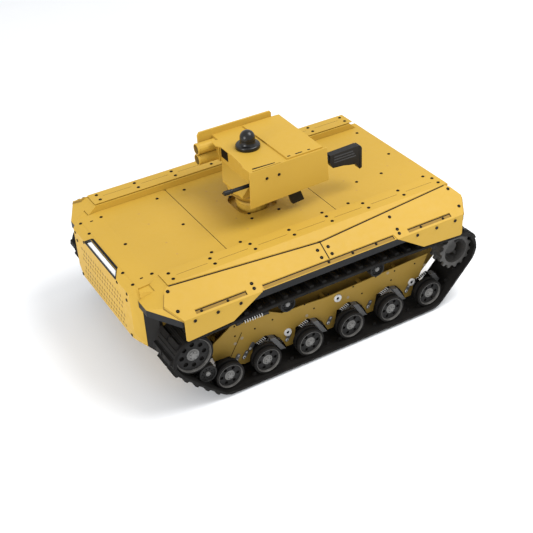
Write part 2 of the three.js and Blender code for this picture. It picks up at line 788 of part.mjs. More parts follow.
// The gun is only its outside: barrel, receiver, magazine and stock in one block
function gun() {
  const y = gunOffset;
  const z = gunAxis;
  const barrel = cylinder(9, [60, y, z], [292, y, z], 10);
  const guard = cylinder(24, [-20, y, z], [150, y, z], 10);
  const receiver = sidePrism([
    [-190, z - 6], [-160, z - 32], [0, z - 36], [0, z + 26], [-180, z + 26],
  ], y - 16, y + 16);
  const magazine = sidePrism([[-12, z - 30], [-70, z - 30], [-118, 612], [-56, 606]], y - 11, y + 11);
  const grip = sidePrism([[-135, z - 30], [-170, z - 30], [-182, 702], [-148, 700]], y - 12, y + 12);
  const tube = cylinder(15, [-185, y, z + 4], [-420, y, z + 4], 8);
  const stock = sidePrism([
    [-261, 797], [-415, 802], [-430, 797], [-438, 783], [-438, 680], [-426, 676], [-404, 709], [-368, 715],
    [-334, 723], [-276, 728], [-258, 759],
  ], y - 18, y + 18);
  const trunnion = cylinder(14, [turret.x, housing.left + seat, z], [turret.x, y, z], 10);
  return surface(join(barrel, guard, receiver, magazine, grip, tube, stock, trunnion));
}

// Inner pieces --------------------------------------------------------------------------

function batteryPack() {
  const low = bellyHeight + hullWall + seat;
  return surface(box(60, 560, -240, 240, low, low + 190));
}

// Motor and gearbox, bolted against the hull's side wall behind the sprocket's shaft
function driveMotor() {
  const wall = hullHalfWidth - hullWall - seat;
  const gearbox = box(sprocket.x - 40, sprocket.x + 90, wall - 70, wall, sprocket.z - 60, sprocket.z + 60);
  const motor = cylinder(62, [sprocket.x + 20, wall - 60, sprocket.z], [sprocket.x + 20, 60, sprocket.z], 16);
  return surface(join(gearbox, motor));
}

// Putting it together -------------------------------------------------------------------

add("hull_tub", surface(hullTub()), yellow);
add("nose_panel", surface(nosePanel()), yellow);
add("headlight_bar", surface(lightBar(0, 8)), lensWhite);
add("deck_front", surface(deckFront()), yellow);
add("deck_middle", surface(deckMiddle()), yellow);
add("deck_rear", surface(deckRear()), yellow);
addPair("shoulder_rail", surface(shoulderRail()), yellow);
addPair("sponson", surface(sponson()), yellow);
const frontSkirt = surface(skirt());
addPair("skirt_front", frontSkirt, yellow);
addPair("skirt_rear", mirrored(frontSkirt, -1, 1), yellow);
addPair("side_plate", sidePlate(), yellow);
addPair("track", track(), rubber);
roadWheels.forEach((x, i) => {
  const dir = i === 0 ? -1 : 1;
  const profile = wheelProfile(roadWheelRadius, 24, armOuter + seat);
  addPair(`road_wheel_${i + 1}`, turned(profile, x, wheelHeight, 12), wheelGrey);
  addPair(`swing_arm_${i + 1}`, swingArm(x, dir), darkMetal);
});
const idlerProfile = wheelProfile(idler.radius, 30, hullHalfWidth + seat);
addPair("idler", turned(idlerProfile, idler.x, idler.z, 18), wheelGrey);
addPair("drive_sprocket", driveSprocket(), darkMetal);
returnRollers.forEach((roller, i) => {
  addPair(`return_roller_${i + 1}`, turned(rollerProfile(roller.radius), roller.x, roller.z, 10), wheelGrey);
});
addPair(
  "tension_roller",
  turned(rollerProfile(tensionRoller.radius), tensionRoller.x, tensionRoller.z, 10),
  wheelGrey,
);
add("turntable", turntable(), yellow);
add("turret_housing", turretHousing(), yellow);
add("launch_tubes", launchTubes(), yellow);
add("camera_dome", cameraDome(), black);
add("gun", gun(), black);
add("battery_pack", batteryPack(), darkMetal);
addPair("drive_motor", driveMotor(), darkMetal);

export default vehicle;
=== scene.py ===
"""Looks of the tracked robot chassis: satin yellow armour, alloy wheels, rubber tracks.

Metres, in the CAD frame: +X forwards, +Y left, +Z up, ground at Z 0.
Turned pieces are profiles of (radius, distance along the axis) swept round an axis:
point = centre + u r cos t + v r sin t + axis h. Springs are helices with the same u, v and axis.
The track follows a tight loop round circles (x, z, r): on a circle the point is
(x + (r + d) cos t, z + (r + d) sin t), and between circles it runs along their common tangent.
"""
import math

import bmesh
import bpy
import numpy as np
from mathutils import Matrix, Vector


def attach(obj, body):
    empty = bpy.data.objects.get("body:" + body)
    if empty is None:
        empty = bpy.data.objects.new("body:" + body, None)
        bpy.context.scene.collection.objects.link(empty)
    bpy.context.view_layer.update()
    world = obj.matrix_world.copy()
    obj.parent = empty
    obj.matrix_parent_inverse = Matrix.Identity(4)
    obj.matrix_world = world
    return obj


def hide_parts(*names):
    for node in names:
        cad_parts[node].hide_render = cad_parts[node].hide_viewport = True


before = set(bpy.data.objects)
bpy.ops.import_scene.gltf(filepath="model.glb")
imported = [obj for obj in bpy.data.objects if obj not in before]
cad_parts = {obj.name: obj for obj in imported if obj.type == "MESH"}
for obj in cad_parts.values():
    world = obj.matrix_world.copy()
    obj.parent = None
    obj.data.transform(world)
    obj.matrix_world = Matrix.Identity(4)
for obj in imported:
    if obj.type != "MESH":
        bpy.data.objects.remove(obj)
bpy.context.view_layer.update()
MM = 0.001
SIDES = {"left": 1, "right": -1}

# Sizes, in millimetres, as the CAD has them --------------------------------------------
TRACK_IN, TRACK_OUT = 406, 586
BELT, LUG, SEAT = 13.7, 13, 0.3
LUG_PITCH = 66
WHEEL_R, WHEEL_Z = 70, 97
WHEEL_IN, WHEEL_OUT = 514, 564
GROOVE_IN, GROOVE_OUT = 532, 546
PLATE_OUT, ARM_OUT = 468, 459
HULL_HALF = 396
REAR_WHEEL, WHEEL_PITCH = -587, 228.4
WHEELS = [521.8] + [REAR_WHEEL + i * WHEEL_PITCH for i in range(4, -1, -1)]
ARM_REACH = 76
AXLE_R = 12
IDLER = (687, 290, 94)
SPROCKET = (-734.4, 290, 94)
TENSION = (627, 155.5, 43.5)
RETURNS = [(208, 360, 39), (-275, 360, 39)]
RAIL_TOP, RAIL_BEND, SLOPE = 610, 446, 0.61
CENTRE_X = -6.5
DECK_TOP, DECK_KNEE, DECK_FALL = 572, 720, 0.094
NOSE_FRONT = 851.5
SKIRT_SIDE = 594
SHEET, SKIRT_GAP = 4, 0.5
LIP_TOP = 510.5
FRONT_FOOT, HALF_LENGTH, FRONT_SLOPE = 510, 831, 0.88
SLOT_LINE = 577
BEVEL = 25
ROOF_HALF = 218
RAIL_FRONT, RAIL_EDGE = 718, 490
TURRET_X = 60
ROOF = 858
WELD, NODE_WELD, NODE_BEVEL = 0.01, 0.02, 1.0

# The photo's camera: azimuth, elevation and roll in degrees, place in metres, lens in millimetres
CAMERA_ANGLES = (151.685, 34.477, -3.524)
CAMERA_PLACE = (2.0313, 3.7618, 3.1036)
CAMERA_LENS, CAMERA_SENSOR = 69.93, 36


def skirt_height(y):
    """Height of the skirt's sloping face at a distance from the middle."""
    return RAIL_TOP - SLOPE * (y - RAIL_BEND) - SHEET * math.hypot(1, SLOPE) - SKIRT_GAP


def sponson_height(y):
    """Height of the sponson's side slope, under the skirt."""
    return skirt_height(y) - SHEET * math.hypot(1, SLOPE) - SEAT


def deck_height(x):
    """Height of the deck, which falls in front of its knee."""
    return DECK_TOP - DECK_FALL * max(0, x - DECK_KNEE)


# Materials -----------------------------------------------------------------------------
class Nodes:
    """A small helper that adds shader nodes and links them."""

    def __init__(self, name):
        self.material = bpy.data.materials.new(name)
        self.material.use_nodes = True
        self.tree = self.material.node_tree
        self.shader = self.tree.nodes["Principled BSDF"]
        self.coords = self.new("ShaderNodeTexCoord").outputs["Object"]

    def new(self, kind, **values):
        node = self.tree.nodes.new(kind)
        for key, value in values.items():
            setattr(node, key, value)
        return node

    def link(self, source, target):
        self.tree.links.new(source, target)

    def noise(self, scale, detail=3.0, rough=0.5):
        node = self.new("ShaderNodeTexNoise")
        node.inputs["Scale"].default_value = scale
        node.inputs["Detail"].default_value = detail
        node.inputs["Roughness"].default_value = rough
        self.link(self.coords, node.inputs["Vector"])
        return node.outputs["Fac"]

    def ramp(self, value, low, high, start, end):
        node = self.new("ShaderNodeMapRange")
        node.inputs["From Min"].default_value = low
        node.inputs["From Max"].default_value = high
        node.inputs["To Min"].default_value = start
        node.inputs["To Max"].default_value = end
        self.link(value, node.inputs["Value"])
        return node.outputs["Result"]

    def mix(self, factor, a, b):
        node = self.new("ShaderNodeMix", data_type="RGBA")
        self.link(factor, node.inputs["Factor"])
        for socket, colour in ((node.inputs["A"], a), (node.inputs["B"], b)):
            if isinstance(colour, tuple):
                socket.default_value = (*colour, 1)
            else:
                self.link(colour, socket)
        return node.outputs["Result"]

    def bump(self, height, strength, distance):
        node = self.new("ShaderNodeBump")
        node.inputs["Strength"].default_value = strength
        node.inputs["Distance"].default_value = distance
        self.link(height, node.inputs["Height"])
        self.link(node.outputs["Normal"], self.shader.inputs["Normal"])

    def edges(self, radius):
        """1 near an edge and 0 on a face, from how far a rounded normal leans away."""
        bevel = self.new("ShaderNodeBevel", samples=4)
        bevel.inputs["Radius"].default_value = radius
        geometry = self.new("ShaderNodeNewGeometry")
        dot = self.new("ShaderNodeVectorMath", operation="DOT_PRODUCT")
        self.link(bevel.outputs["Normal"], dot.inputs[0])
        self.link(geometry.outputs["Normal"], dot.inputs[1])
        return self.ramp(dot.outputs["Value"], 0.98, 0.85, 0.0, 1.0)


def paint_material(name, colour, edge_colour, dust_colour, roughness, trims=()):
    """Sprayed satin paint: cloudy colour, orange peel, paler worn edges and low dust.

    A trim is (axis, from, to, colour): the band between two places on an axis, on both sides for Y.
    """
    n = Nodes(name)
    clouds = n.ramp(n.noise(2.2, 4), 0.3, 0.7, 0.0, 1.0)
    shade = tuple(c * 0.93 for c in colour)
    base = n.mix(clouds, shade, colour)
    speck = n.ramp(n.noise(140, 5, 0.7), 0.62, 0.78, 0.0, 0.35)
    base = n.mix(speck, base, shade)
    split = n.new("ShaderNodeSeparateXYZ")
    n.link(n.coords, split.inputs["Vector"])
    low = n.ramp(split.outputs["Z"], 0.42, 0.05, 0.0, 0.35)
    base = n.mix(low, base, dust_colour)
    worn = n.new("ShaderNodeMath", operation="MULTIPLY")
    n.link(n.edges(0.0014), worn.inputs[0])
    n.link(n.ramp(n.noise(60, 4), 0.42, 0.6, 0.1, 0.75), worn.inputs[1])
    base = n.mix(worn.outputs["Value"], base, edge_colour)
    for axis, start, end, trim in trims:
        place = split.outputs[axis]
        if axis == "Y":
            away = n.new("ShaderNodeMath", operation="ABSOLUTE")
            n.link(place, away.inputs[0])
            place = away.outputs["Value"]
        inside = n.new("ShaderNodeMath", operation="COMPARE")
        n.link(place, inside.inputs[0])
        inside.inputs[1].default_value = (start + end) / 2 * MM
        inside.inputs[2].default_value = (end - start) / 2 * MM
        base = n.mix(inside.outputs["Value"], base, trim)
    n.link(base, n.shader.inputs["Base Color"])
    n.link(n.ramp(n.noise(35, 4), 0.3, 0.7, roughness - 0.05, roughness + 0.07), n.shader.inputs["Roughness"])
    n.shader.inputs["Specular IOR Level"].default_value = 0.2
    n.bump(n.noise(750, 2), 0.10, 0.0004)
    return n.material


def metal_material(name, colour, roughness, metallic, wear=(0.45, 0.44, 0.42), gloss=0.3):
    """Cast or machined metal: mottled, a little grainy, rubbed brighter on its edges."""
    n = Nodes(name)
    mottle = n.ramp(n.noise(18, 5, 0.6), 0.35, 0.68, 0.0, 1.0)
    base = n.mix(mottle, tuple(c * 0.75 for c in colour), colour)
    base = n.mix(n.ramp(n.edges(0.0010), 0.0, 1.0, 0.0, 0.4), base, wear)
    n.link(base, n.shader.inputs["Base Color"])
    n.shader.inputs["Metallic"].default_value = metallic
    n.link(n.ramp(n.noise(60, 4), 0.3, 0.7, roughness - 0.08, roughness + 0.1), n.shader.inputs["Roughness"])
    n.shader.inputs["Specular IOR Level"].default_value = gloss
    n.bump(n.noise(300, 3), 0.15, 0.0005)
    return n.material


def rubber_material():
    """Moulded rubber: near black, dusty in patches and finely pitted."""
    n = Nodes("track_rubber")
    dust = n.ramp(n.noise(14, 5, 0.65), 0.45, 0.75, 0.0, 0.4)
    base = n.mix(dust, (0.006, 0.0055, 0.005), (0.020, 0.018, 0.016))
    n.link(base, n.shader.inputs["Base Color"])
    n.link(n.ramp(n.noise(30, 3), 0.3, 0.7, 0.55, 0.78), n.shader.inputs["Roughness"])
    n.shader.inputs["Specular IOR Level"].default_value = 0.15
    n.bump(n.noise(420, 4, 0.7), 0.25, 0.0008)
    return n.material


def plain_material(name, colour, roughness, coat=0.0, grain=500.0, bump=0.05, gloss=0.15):
    """Moulded plastic, lens or dark recess: slight colour and roughness variation."""
    n = Nodes(name)
    base = n.mix(n.ramp(n.noise(25, 3), 0.3, 0.7, 0.0, 1.0), tuple(c * 0.85 for c in colour), colour)
    n.link(base, n.shader.inputs["Base Color"])
    n.shader.inputs["Coat Weight"].default_value = coat
    n.shader.inputs["Specular IOR Level"].default_value = gloss
    n.link(n.ramp(n.noise(50, 3), 0.3, 0.7, roughness * 0.85, roughness * 1.15), n.shader.inputs["Roughness"])
    n.bump(n.noise(grain, 2), bump, 0.0003)
    return n.material


PAINT = ((0.495, 0.305, 0.041), (0.62, 0.41, 0.10), (0.33, 0.215, 0.055), 0.5)
SCREW_BLACK = (0.006, 0.0045, 0.0035)
LIP_GREY = (0.008, 0.0085, 0.0095)
YELLOW = paint_material("yellow_paint", *PAINT)
SKIRT_SCREW_BAND = ("Y", SKIRT_SIDE + 0.3, SKIRT_SIDE + 9, SCREW_BLACK)
NOSE_SCREW_BAND = ("X", NOSE_FRONT + 0.3, NOSE_FRONT + 9, SCREW_BLACK)
SKIRT_PAINT = paint_material("skirt_paint", *PAINT, trims=[SKIRT_SCREW_BAND])
NOSE_PAINT = paint_material("nose_paint", *PAINT, trims=[NOSE_SCREW_BAND])
SPONSON_PAINT = paint_material("sponson_paint", *PAINT, trims=[("Z", 0, LIP_TOP, LIP_GREY)])
YELLOW_LOW = paint_material("yellow_paint_shaded", (0.37, 0.23, 0.036), (0.50, 0.34, 0.09),
                            (0.22, 0.15, 0.045), 0.55)
ALLOY = metal_material("wheel_alloy", (0.014, 0.0135, 0.013), 0.55, 0.1, wear=(0.13, 0.127, 0.12), gloss=0.2)
RIM = metal_material("wheel_rim", (0.10, 0.096, 0.09), 0.5, 0.3, wear=(0.22, 0.21, 0.20))
HUB = metal_material("hub_alloy", (0.19, 0.187, 0.18), 0.45, 0.3, wear=(0.32, 0.31, 0.30))
DARK = metal_material("dark_metal", (0.030, 0.029, 0.028), 0.5, 0.4, wear=(0.14, 0.14, 0.13))
STEEL = metal_material("cast_steel", (0.085, 0.082, 0.078), 0.5, 0.4, wear=(0.30, 0.29, 0.28))
WASHER = metal_material("white_washer", (0.75, 0.75, 0.74), 0.35, 0.1, wear=(0.85, 0.85, 0.84))
RUBBER = rubber_material()
# Near black: painted shade on the floors of the web holes in the wheels and rollers, and the own black of the
# tensioner's rod and the side plate's seam line.
BLACK_AND_PAINTED_SHADE = plain_material("black_and_painted_shade", (0.008, 0.007, 0.006), 0.8)
SOCKET = plain_material("screw_socket", (0.02, 0.015, 0.010), 0.5)
GLOSS = plain_material("dome_plastic", (0.007, 0.0068, 0.0065), 0.3, coat=0.12, bump=0.0, gloss=0.3)
GUN = plain_material("gun_black", (0.009, 0.0088, 0.0085), 0.45, grain=900, bump=0.12, gloss=0.25)
LENS = plain_material("lamp_lens", (0.88, 0.90, 0.91), 0.15, coat=0.6, bump=0.0, gloss=0.5)
GREY_BLOCK = metal_material("link_grey", (0.16, 0.16, 0.16), 0.5, 0.4)
SCREW = metal_material("screw_black", SCREW_BLACK, 0.6, 0.0, wear=(0.015, 0.012, 0.010), gloss=0.12)
BLACK_TRIM = metal_material("black_trim", (0.007, 0.007, 0.007), 0.55, 0.0, wear=(0.04, 0.04, 0.04),
                            gloss=0.15)
LAMP_WALL = metal_material("lamp_wall", (0.040, 0.042, 0.042), 0.4, 0.3)
# Dark brown: painted shade in the rails' pressed lines and the nose's cooling slots.
GROOVE_PAINTED_SHADE = plain_material("groove_painted_shade", (0.10, 0.055, 0.012), 0.6)
# Near black brown: painted shade inside the skirts' slots, under the rail's flange and in the deck's lifting
# slots; also the dark seams between the panels.
DARK_SEAM_AND_PAINTED_SHADE = plain_material("dark_seam_and_painted_shade", (0.022, 0.012, 0.005), 0.7)
# Painted shade: the hull tub is a shaded copy of the yellow paint, near black at its front bevel (X 745 to
# 840), with the plain yellow paint again between Z 500 and 580.
HULL_PAINTED_SHADE = paint_material("hull_painted_shade", (0.27, 0.165, 0.028), (0.33, 0.20, 0.04), (0.18, 0.11, 0.03), 0.6,
                            trims=[("X", 745, 840, (0.010, 0.009, 0.008)), ("Z", 500, 580, PAINT[0])])
SHADED = paint_material("shaded_paint", (0.27, 0.16, 0.026), (0.33, 0.20, 0.04), (0.18, 0.11, 0.03), 0.6)
PLUG = plain_material("plug_paint", (0.47, 0.28, 0.065), 0.5)
FADED = plain_material("plate_spot", (0.36, 0.29, 0.18), 0.5)
# Darker yellow: painted shade inside the launch tubes' bores.
BORE_PAINTED_SHADE = plain_material("tube_bore_painted_shade", (0.30, 0.19, 0.05), 0.6)
GLOSS_SEAM = plain_material("dome_seam", (0.006, 0.006, 0.006), 0.5)
# Dark grey: painted highlight on the stock's side ribs and butt bar.
GUN_PAINTED_HIGHLIGHT = plain_material("gun_painted_highlight", (0.050, 0.052, 0.056), 0.45, grain=900, bump=0.1)


# Mesh building -------------------------------------------------------------------------
class Shape:
    """Collects vertices in millimetres, faces and each face's material number."""

    def __init__(self):
        self.verts = []
        self.faces = []
        self.slots = []

    def add(self, verts, faces, slot=0):
        base = len(self.verts)
        self.verts.extend(tuple(map(float, v)) for v in verts)
        self.faces.extend(tuple(base + i for i in f) for f in faces)
        self.slots.extend([slot] * len(faces))

    def turned(self, profile, centre, axis=(0, 1, 0), steps=32, slot=0, hexed=False):
        """A profile of (radius, height) swept round an axis through centre, or round a hexagon."""
        w = np.array(axis, float)
        u = np.cross(w, (0, 0, 1) if abs(w[2]) < 0.9 else (1, 0, 0))
        u /= np.linalg.norm(u)
        v = np.cross(w, u)
        rings, verts = [], []
        for radius, height in profile:
            count = 1 if radius < 1e-6 else steps
            rings.append(list(range(len(verts), len(verts) + count)))
            for i in range(count):
                t = 2 * math.pi * i / steps
                r = radius
                if hexed:
                    r *= math.cos(math.pi / 6) / math.cos(t % (math.pi / 3) - math.pi / 6)
                verts.append(np.array(centre) + u * r * math.cos(t) + v * r * math.sin(t) + w * height)
        faces = []
        for a, b in zip(rings, rings[1:]):
            for i in range(steps):
                j = (i + 1) % steps
                if len(a) == 1 and len(b) > 1:
                    faces.append((a[0], b[j], b[i]))
                elif len(b) == 1 and len(a) > 1:
                    faces.append((a[i], a[j], b[0]))
                elif len(a) > 1:
                    faces.append((a[i], a[j], b[j], b[i]))
        self.add(verts, faces, slot)

    def prism(self, outline, move, slot=0):
        """A flat outline of 3D points carried along a vector."""
        n = len(outline)
        far = [tuple(np.array(p, float) + np.array(move, float)) for p in outline]
        faces = [tuple(range(n)), tuple(range(2 * n - 1, n - 1, -1))]
        faces += [(i, (i + 1) % n, n + (i + 1) % n, n + i) for i in range(n)]
        self.add(list(outline) + far, faces, slot)

    def box(self, low, high, slot=0):
        (x0, y0, z0), (x1, y1, z1) = low, high
        self.prism([(x0, y0, z0), (x1, y0, z0), (x1, y1, z0), (x0, y1, z0)], (0, 0, z1 - z0), slot)

    def tube(self, path, radius, sides=8, slot=0):
        """A round bar along a path of points."""
        path = np.array(path, float)
        tangents = np.gradient(path, axis=0)
        tangents /= np.linalg.norm(tangents, axis=1)[:, None]
        u = np.cross(tangents[0], (0.0, 1.0, 0.0) if abs(tangents[0][1]) < 0.9 else (1.0, 0.0, 0.0))
        verts = []
        for point, t in zip(path, tangents):
            u = u - t * (u @ t)
            u /= np.linalg.norm(u)
            v = np.cross(t, u)
            for i in range(sides):
                a = 2 * math.pi * i / sides
                verts.append(point + radius * (u * math.cos(a) + v * math.sin(a)))
        faces = []
        for k in range(len(path) - 1):
            for i in range(sides):
                j = (i + 1) % sides
                faces.append((k * sides + i, k * sides + j, (k + 1) * sides + j, (k + 1) * sides + i))
        last = (len(path) - 1) * sides
        faces.append(tuple(range(sides - 1, -1, -1)))
        faces.append(tuple(range(last, last + sides)))
        self.add(verts, faces, slot)

    def screw(self, centre, axis=(0, 0, 1), radius=7.2, height=3.0, slot=0, pit_slot=1):
        """A button-headed screw: a domed head with a six-sided socket."""
        r, h = radius, height
        head = [(r, -0.4), (r, 0.5), (r * 0.95, h * 0.5), (r * 0.8, h * 0.85), (r * 0.6, h)]
        rim = [(r * 0.6, h), (r * 0.5, h), (r * 0.48, h * 0.35), (0, h * 0.3)]
        self.turned(head, centre, axis, 12, slot)
        self.turned(rim[:2], centre, axis, 12, slot)
        self.turned(rim[1:], centre, axis, 12, pit_slot, hexed=True)

    def loft(self, loops, slot=0, cap=True):
        """Skins loops that have as many points as each other, and caps the last one."""
        n = len(loops[0])
        verts = [p for loop in loops for p in loop]
        faces = [(k * n + i, k * n + (i + 1) % n, (k + 1) * n + (i + 1) % n, (k + 1) * n + i)
                 for k in range(len(loops) - 1) for i in range(n)]
        if cap:
            faces.append(tuple(range(len(verts) - n, len(verts))))
        self.add(verts, faces, slot)

    def spring(self, start, end, radius, wire, turns, slot=0, steps=14, sides=6):
        """A coil: start + (end - start) s + radius (u cos t + v sin t), with t turning along s."""
        start, end = np.array(start, float), np.array(end, float)
        w = (end - start) / np.linalg.norm(end - start)
        u = np.cross(w, (0.0, 1.0, 0.0))
        u /= np.linalg.norm(u)
        v = np.cross(w, u)
        path = []
        for i in range(turns * steps + 1):
            t = 2 * math.pi * i / steps
            s = i / (turns * steps)
            path.append(start + (end - start) * s + radius * (u * math.cos(t) + v * math.sin(t)))
        self.tube(path, wire, sides, slot)

    def capsule(self, a, b, radius, y0, y1, slot=0):
        """A flat link with round ends between two (x, z) points, from y0 to y1."""
        angle = math.atan2(b[1] - a[1], b[0] - a[0])
        outline = []
        for (x, z), first in ((b, angle - math.pi / 2), (a, angle + math.pi / 2)):
            for i in range(7):
                t = first + math.pi * i / 6
                outline.append((x + radius * math.cos(t), y0, z + radius * math.sin(t)))
        self.prism(outline, (0, y1 - y0, 0), slot)

    def capsule_flat(self, a, b, radius, z0, z1, slot=0):
        """A level link with round ends between two (x, y) points, from z0 to z1."""
        angle = math.atan2(b[1] - a[1], b[0] - a[0])
        outline = []
        for (x, y), first in ((b, angle - math.pi / 2), (a, angle + math.pi / 2)):
            for i in range(7):
                t = first + math.pi * i / 6
                outline.append((x + radius * math.cos(t), y + radius * math.sin(t), z0))
        self.prism(outline, (0, 0, z1 - z0), slot)

    def web(self, centre, inner, outer, depth, side, holes, hole_radius, slot=0, pit_slot=1, steps=32):
        """A disc facing sideways with a ring of round holes, each sunk by depth.

        Each hole has its own sector of the disc, skinned from a square walk round the sector's rim
        to a walk round the hole.
        """
        cx, y, cz = centre
        middle = (inner + outer) / 2
        half = math.pi / holes
        square = []
        for i in range(steps):
            t = 8.0 * i / steps
            if t < 1:
                square.append((1, t))
            elif t < 3:
                square.append((2 - t, 1))
            elif t < 5:
                square.append((-1, 4 - t))
            elif t < 7:
                square.append((t - 6, -1))
            else:
                square.append((1, t - 8))
        for k in range(holes):
            mid = 2 * half * k
            hx, hz = cx + middle * math.cos(mid), cz + middle * math.sin(mid)
            rim, ring, floor = [], [], []
            for a, b in square:
                r = middle + a * (outer - inner) / 2
                angle = mid + b * half
                rim.append((cx + r * math.cos(angle), y, cz + r * math.sin(angle)))
                turn = math.atan2(b, a) + mid
                p = (hx + hole_radius * math.cos(turn), hz + hole_radius * math.sin(turn))
                ring.append((p[0], y, p[1]))
                floor.append((p[0], y - side * depth, p[1]))
            n = steps
            faces = [(i, (i + 1) % n, n + (i + 1) % n, n + i) for i in range(n)]
            self.add(rim + ring, faces, slot)
            self.add(ring + floor, faces, slot)
            # Each hole's floor takes the pit material, a sheet of painted shade seen through the hole.
            self.add(floor, [tuple(range(n))], pit_slot)


def link(obj):
    """Puts an object in the scene and hands it back."""
    bpy.context.scene.collection.objects.link(obj)
    return obj


def piece(name, shape, materials, body, nodes=(), bevel=0.0, sharp=35.0):
    """Makes an object from a shape; it sits at the origin with its place in its mesh."""
    mesh = bpy.data.meshes.new(name)
    mesh.from_pydata([(x * MM, y * MM, z * MM) for x, y, z in shape.verts], [], shape.faces)
    for material in materials:
        mesh.materials.append(material)
    mesh.polygons.foreach_set("material_index", shape.slots)
    edit = bmesh.new()
    edit.from_mesh(mesh)
    bmesh.ops.remove_doubles(edit, verts=edit.verts, dist=WELD * MM)
    bmesh.ops.recalc_face_normals(edit, faces=edit.faces)
    edit.to_mesh(mesh)
    edit.free()
    mesh.polygons.foreach_set("use_smooth", [True] * len(mesh.polygons))
    mesh.set_sharp_from_angle(angle=math.radians(sharp))
    obj = link(bpy.data.objects.new(name, mesh))
    if bevel:
        add_bevel(obj, bevel)
    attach(obj, body)
    if nodes:
        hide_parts(*nodes)


def add_bevel(obj, width_mm):
    """Rounds an object's sharp edges."""
    bevel = obj.modifiers.new("soft_edges", "BEVEL")
    bevel.width = width_mm * MM
    bevel.segments = 2
    bevel.limit_method = "ANGLE"
    bevel.angle_limit = math.radians(25)
    bevel.harden_normals = True


def finish_node(name, material):
    """Keeps a CAD node and gives it welded, softened edges and a finished surface."""
    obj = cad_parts[name]
    obj.data.materials.clear()
    obj.data.materials.append(material)
    weld = obj.modifiers.new("weld", "WELD")
    weld.merge_threshold = NODE_WELD * MM
    add_bevel(obj, NODE_BEVEL)


# Camera, light and floor ---------------------------------------------------------------
def make_camera():
    """Puts the camera where the photo's was, rolled about its own line of sight."""
    azimuth, elevation, roll = (math.radians(a) for a in CAMERA_ANGLES)
    level = math.cos(elevation)
    back = Vector((math.sin(azimuth) * level, -math.cos(azimuth) * level, math.sin(elevation)))
    right = (-back).cross(Vector((0, 0, 1))).normalized()
    up = right.cross(-back)
    turned_right = math.cos(roll) * right + math.sin(roll) * up
    turned_up = math.cos(roll) * up - math.sin(roll) * right
    camera = link(bpy.data.objects.new("camera", bpy.data.cameras.new("camera")))
    matrix = Matrix((turned_right, turned_up, back)).transposed().to_4x4()
    matrix.translation = CAMERA_PLACE
    camera.matrix_world = matrix
    camera.data.lens = CAMERA_LENS
    camera.data.sensor_width = CAMERA_SENSOR
    camera.data.clip_end = 100
    bpy.context.scene.camera = camera


def area_light(name, place, target, size, power):
    """A round soft light at a place, turned to a target; metres and watts."""
    data = bpy.data.lights.new(name, "AREA")
    data.shape = "DISK"
    data.size = size
    data.energy = power
    light = link(bpy.data.objects.new(name, data))
    light.location = place
    light.rotation_euler = (Vector(target) - Vector(place)).to_track_quat("-Z", "Y").to_euler()


def make_stage():
    """White world, pale floor and two soft lights."""
    world = bpy.data.worlds.new("studio")
    bpy.context.scene.world = world
    world.use_nodes = True
    world.node_tree.nodes["Background"].inputs["Color"].default_value = (1, 1, 1, 1)
    world.node_tree.nodes["Background"].inputs["Strength"].default_value = 0.85
    n = Nodes("floor_white")
    clouds = n.ramp(n.noise(1.5, 2), 0.3, 0.7, 0.0, 1.0)
    n.link(n.mix(clouds, (0.895, 0.910, 0.932), (0.91, 0.925, 0.947)), n.shader.inputs["Base Color"])
    n.shader.inputs["Roughness"].default_value = 0.9
    n.shader.inputs["Specular IOR Level"].default_value = 0.1
    mesh = bpy.data.meshes.new("floor")
    reach = 40
    corners = [(-reach, -reach, 0), (reach, -reach, 0), (reach, reach, 0), (-reach, reach, 0)]
    mesh.from_pydata(corners, [], [(0, 1, 2, 3)])
    mesh.materials.append(n.material)
    floor = link(bpy.data.objects.new("floor", mesh))
    area_light("key_light", (-2.2, 1.6, 5.0), (0, 0, 0.4), 3.5, 232)
    area_light("front_light", (6.0, 2.0, 2.2), (0, 0, 0.3), 3.0, 215)


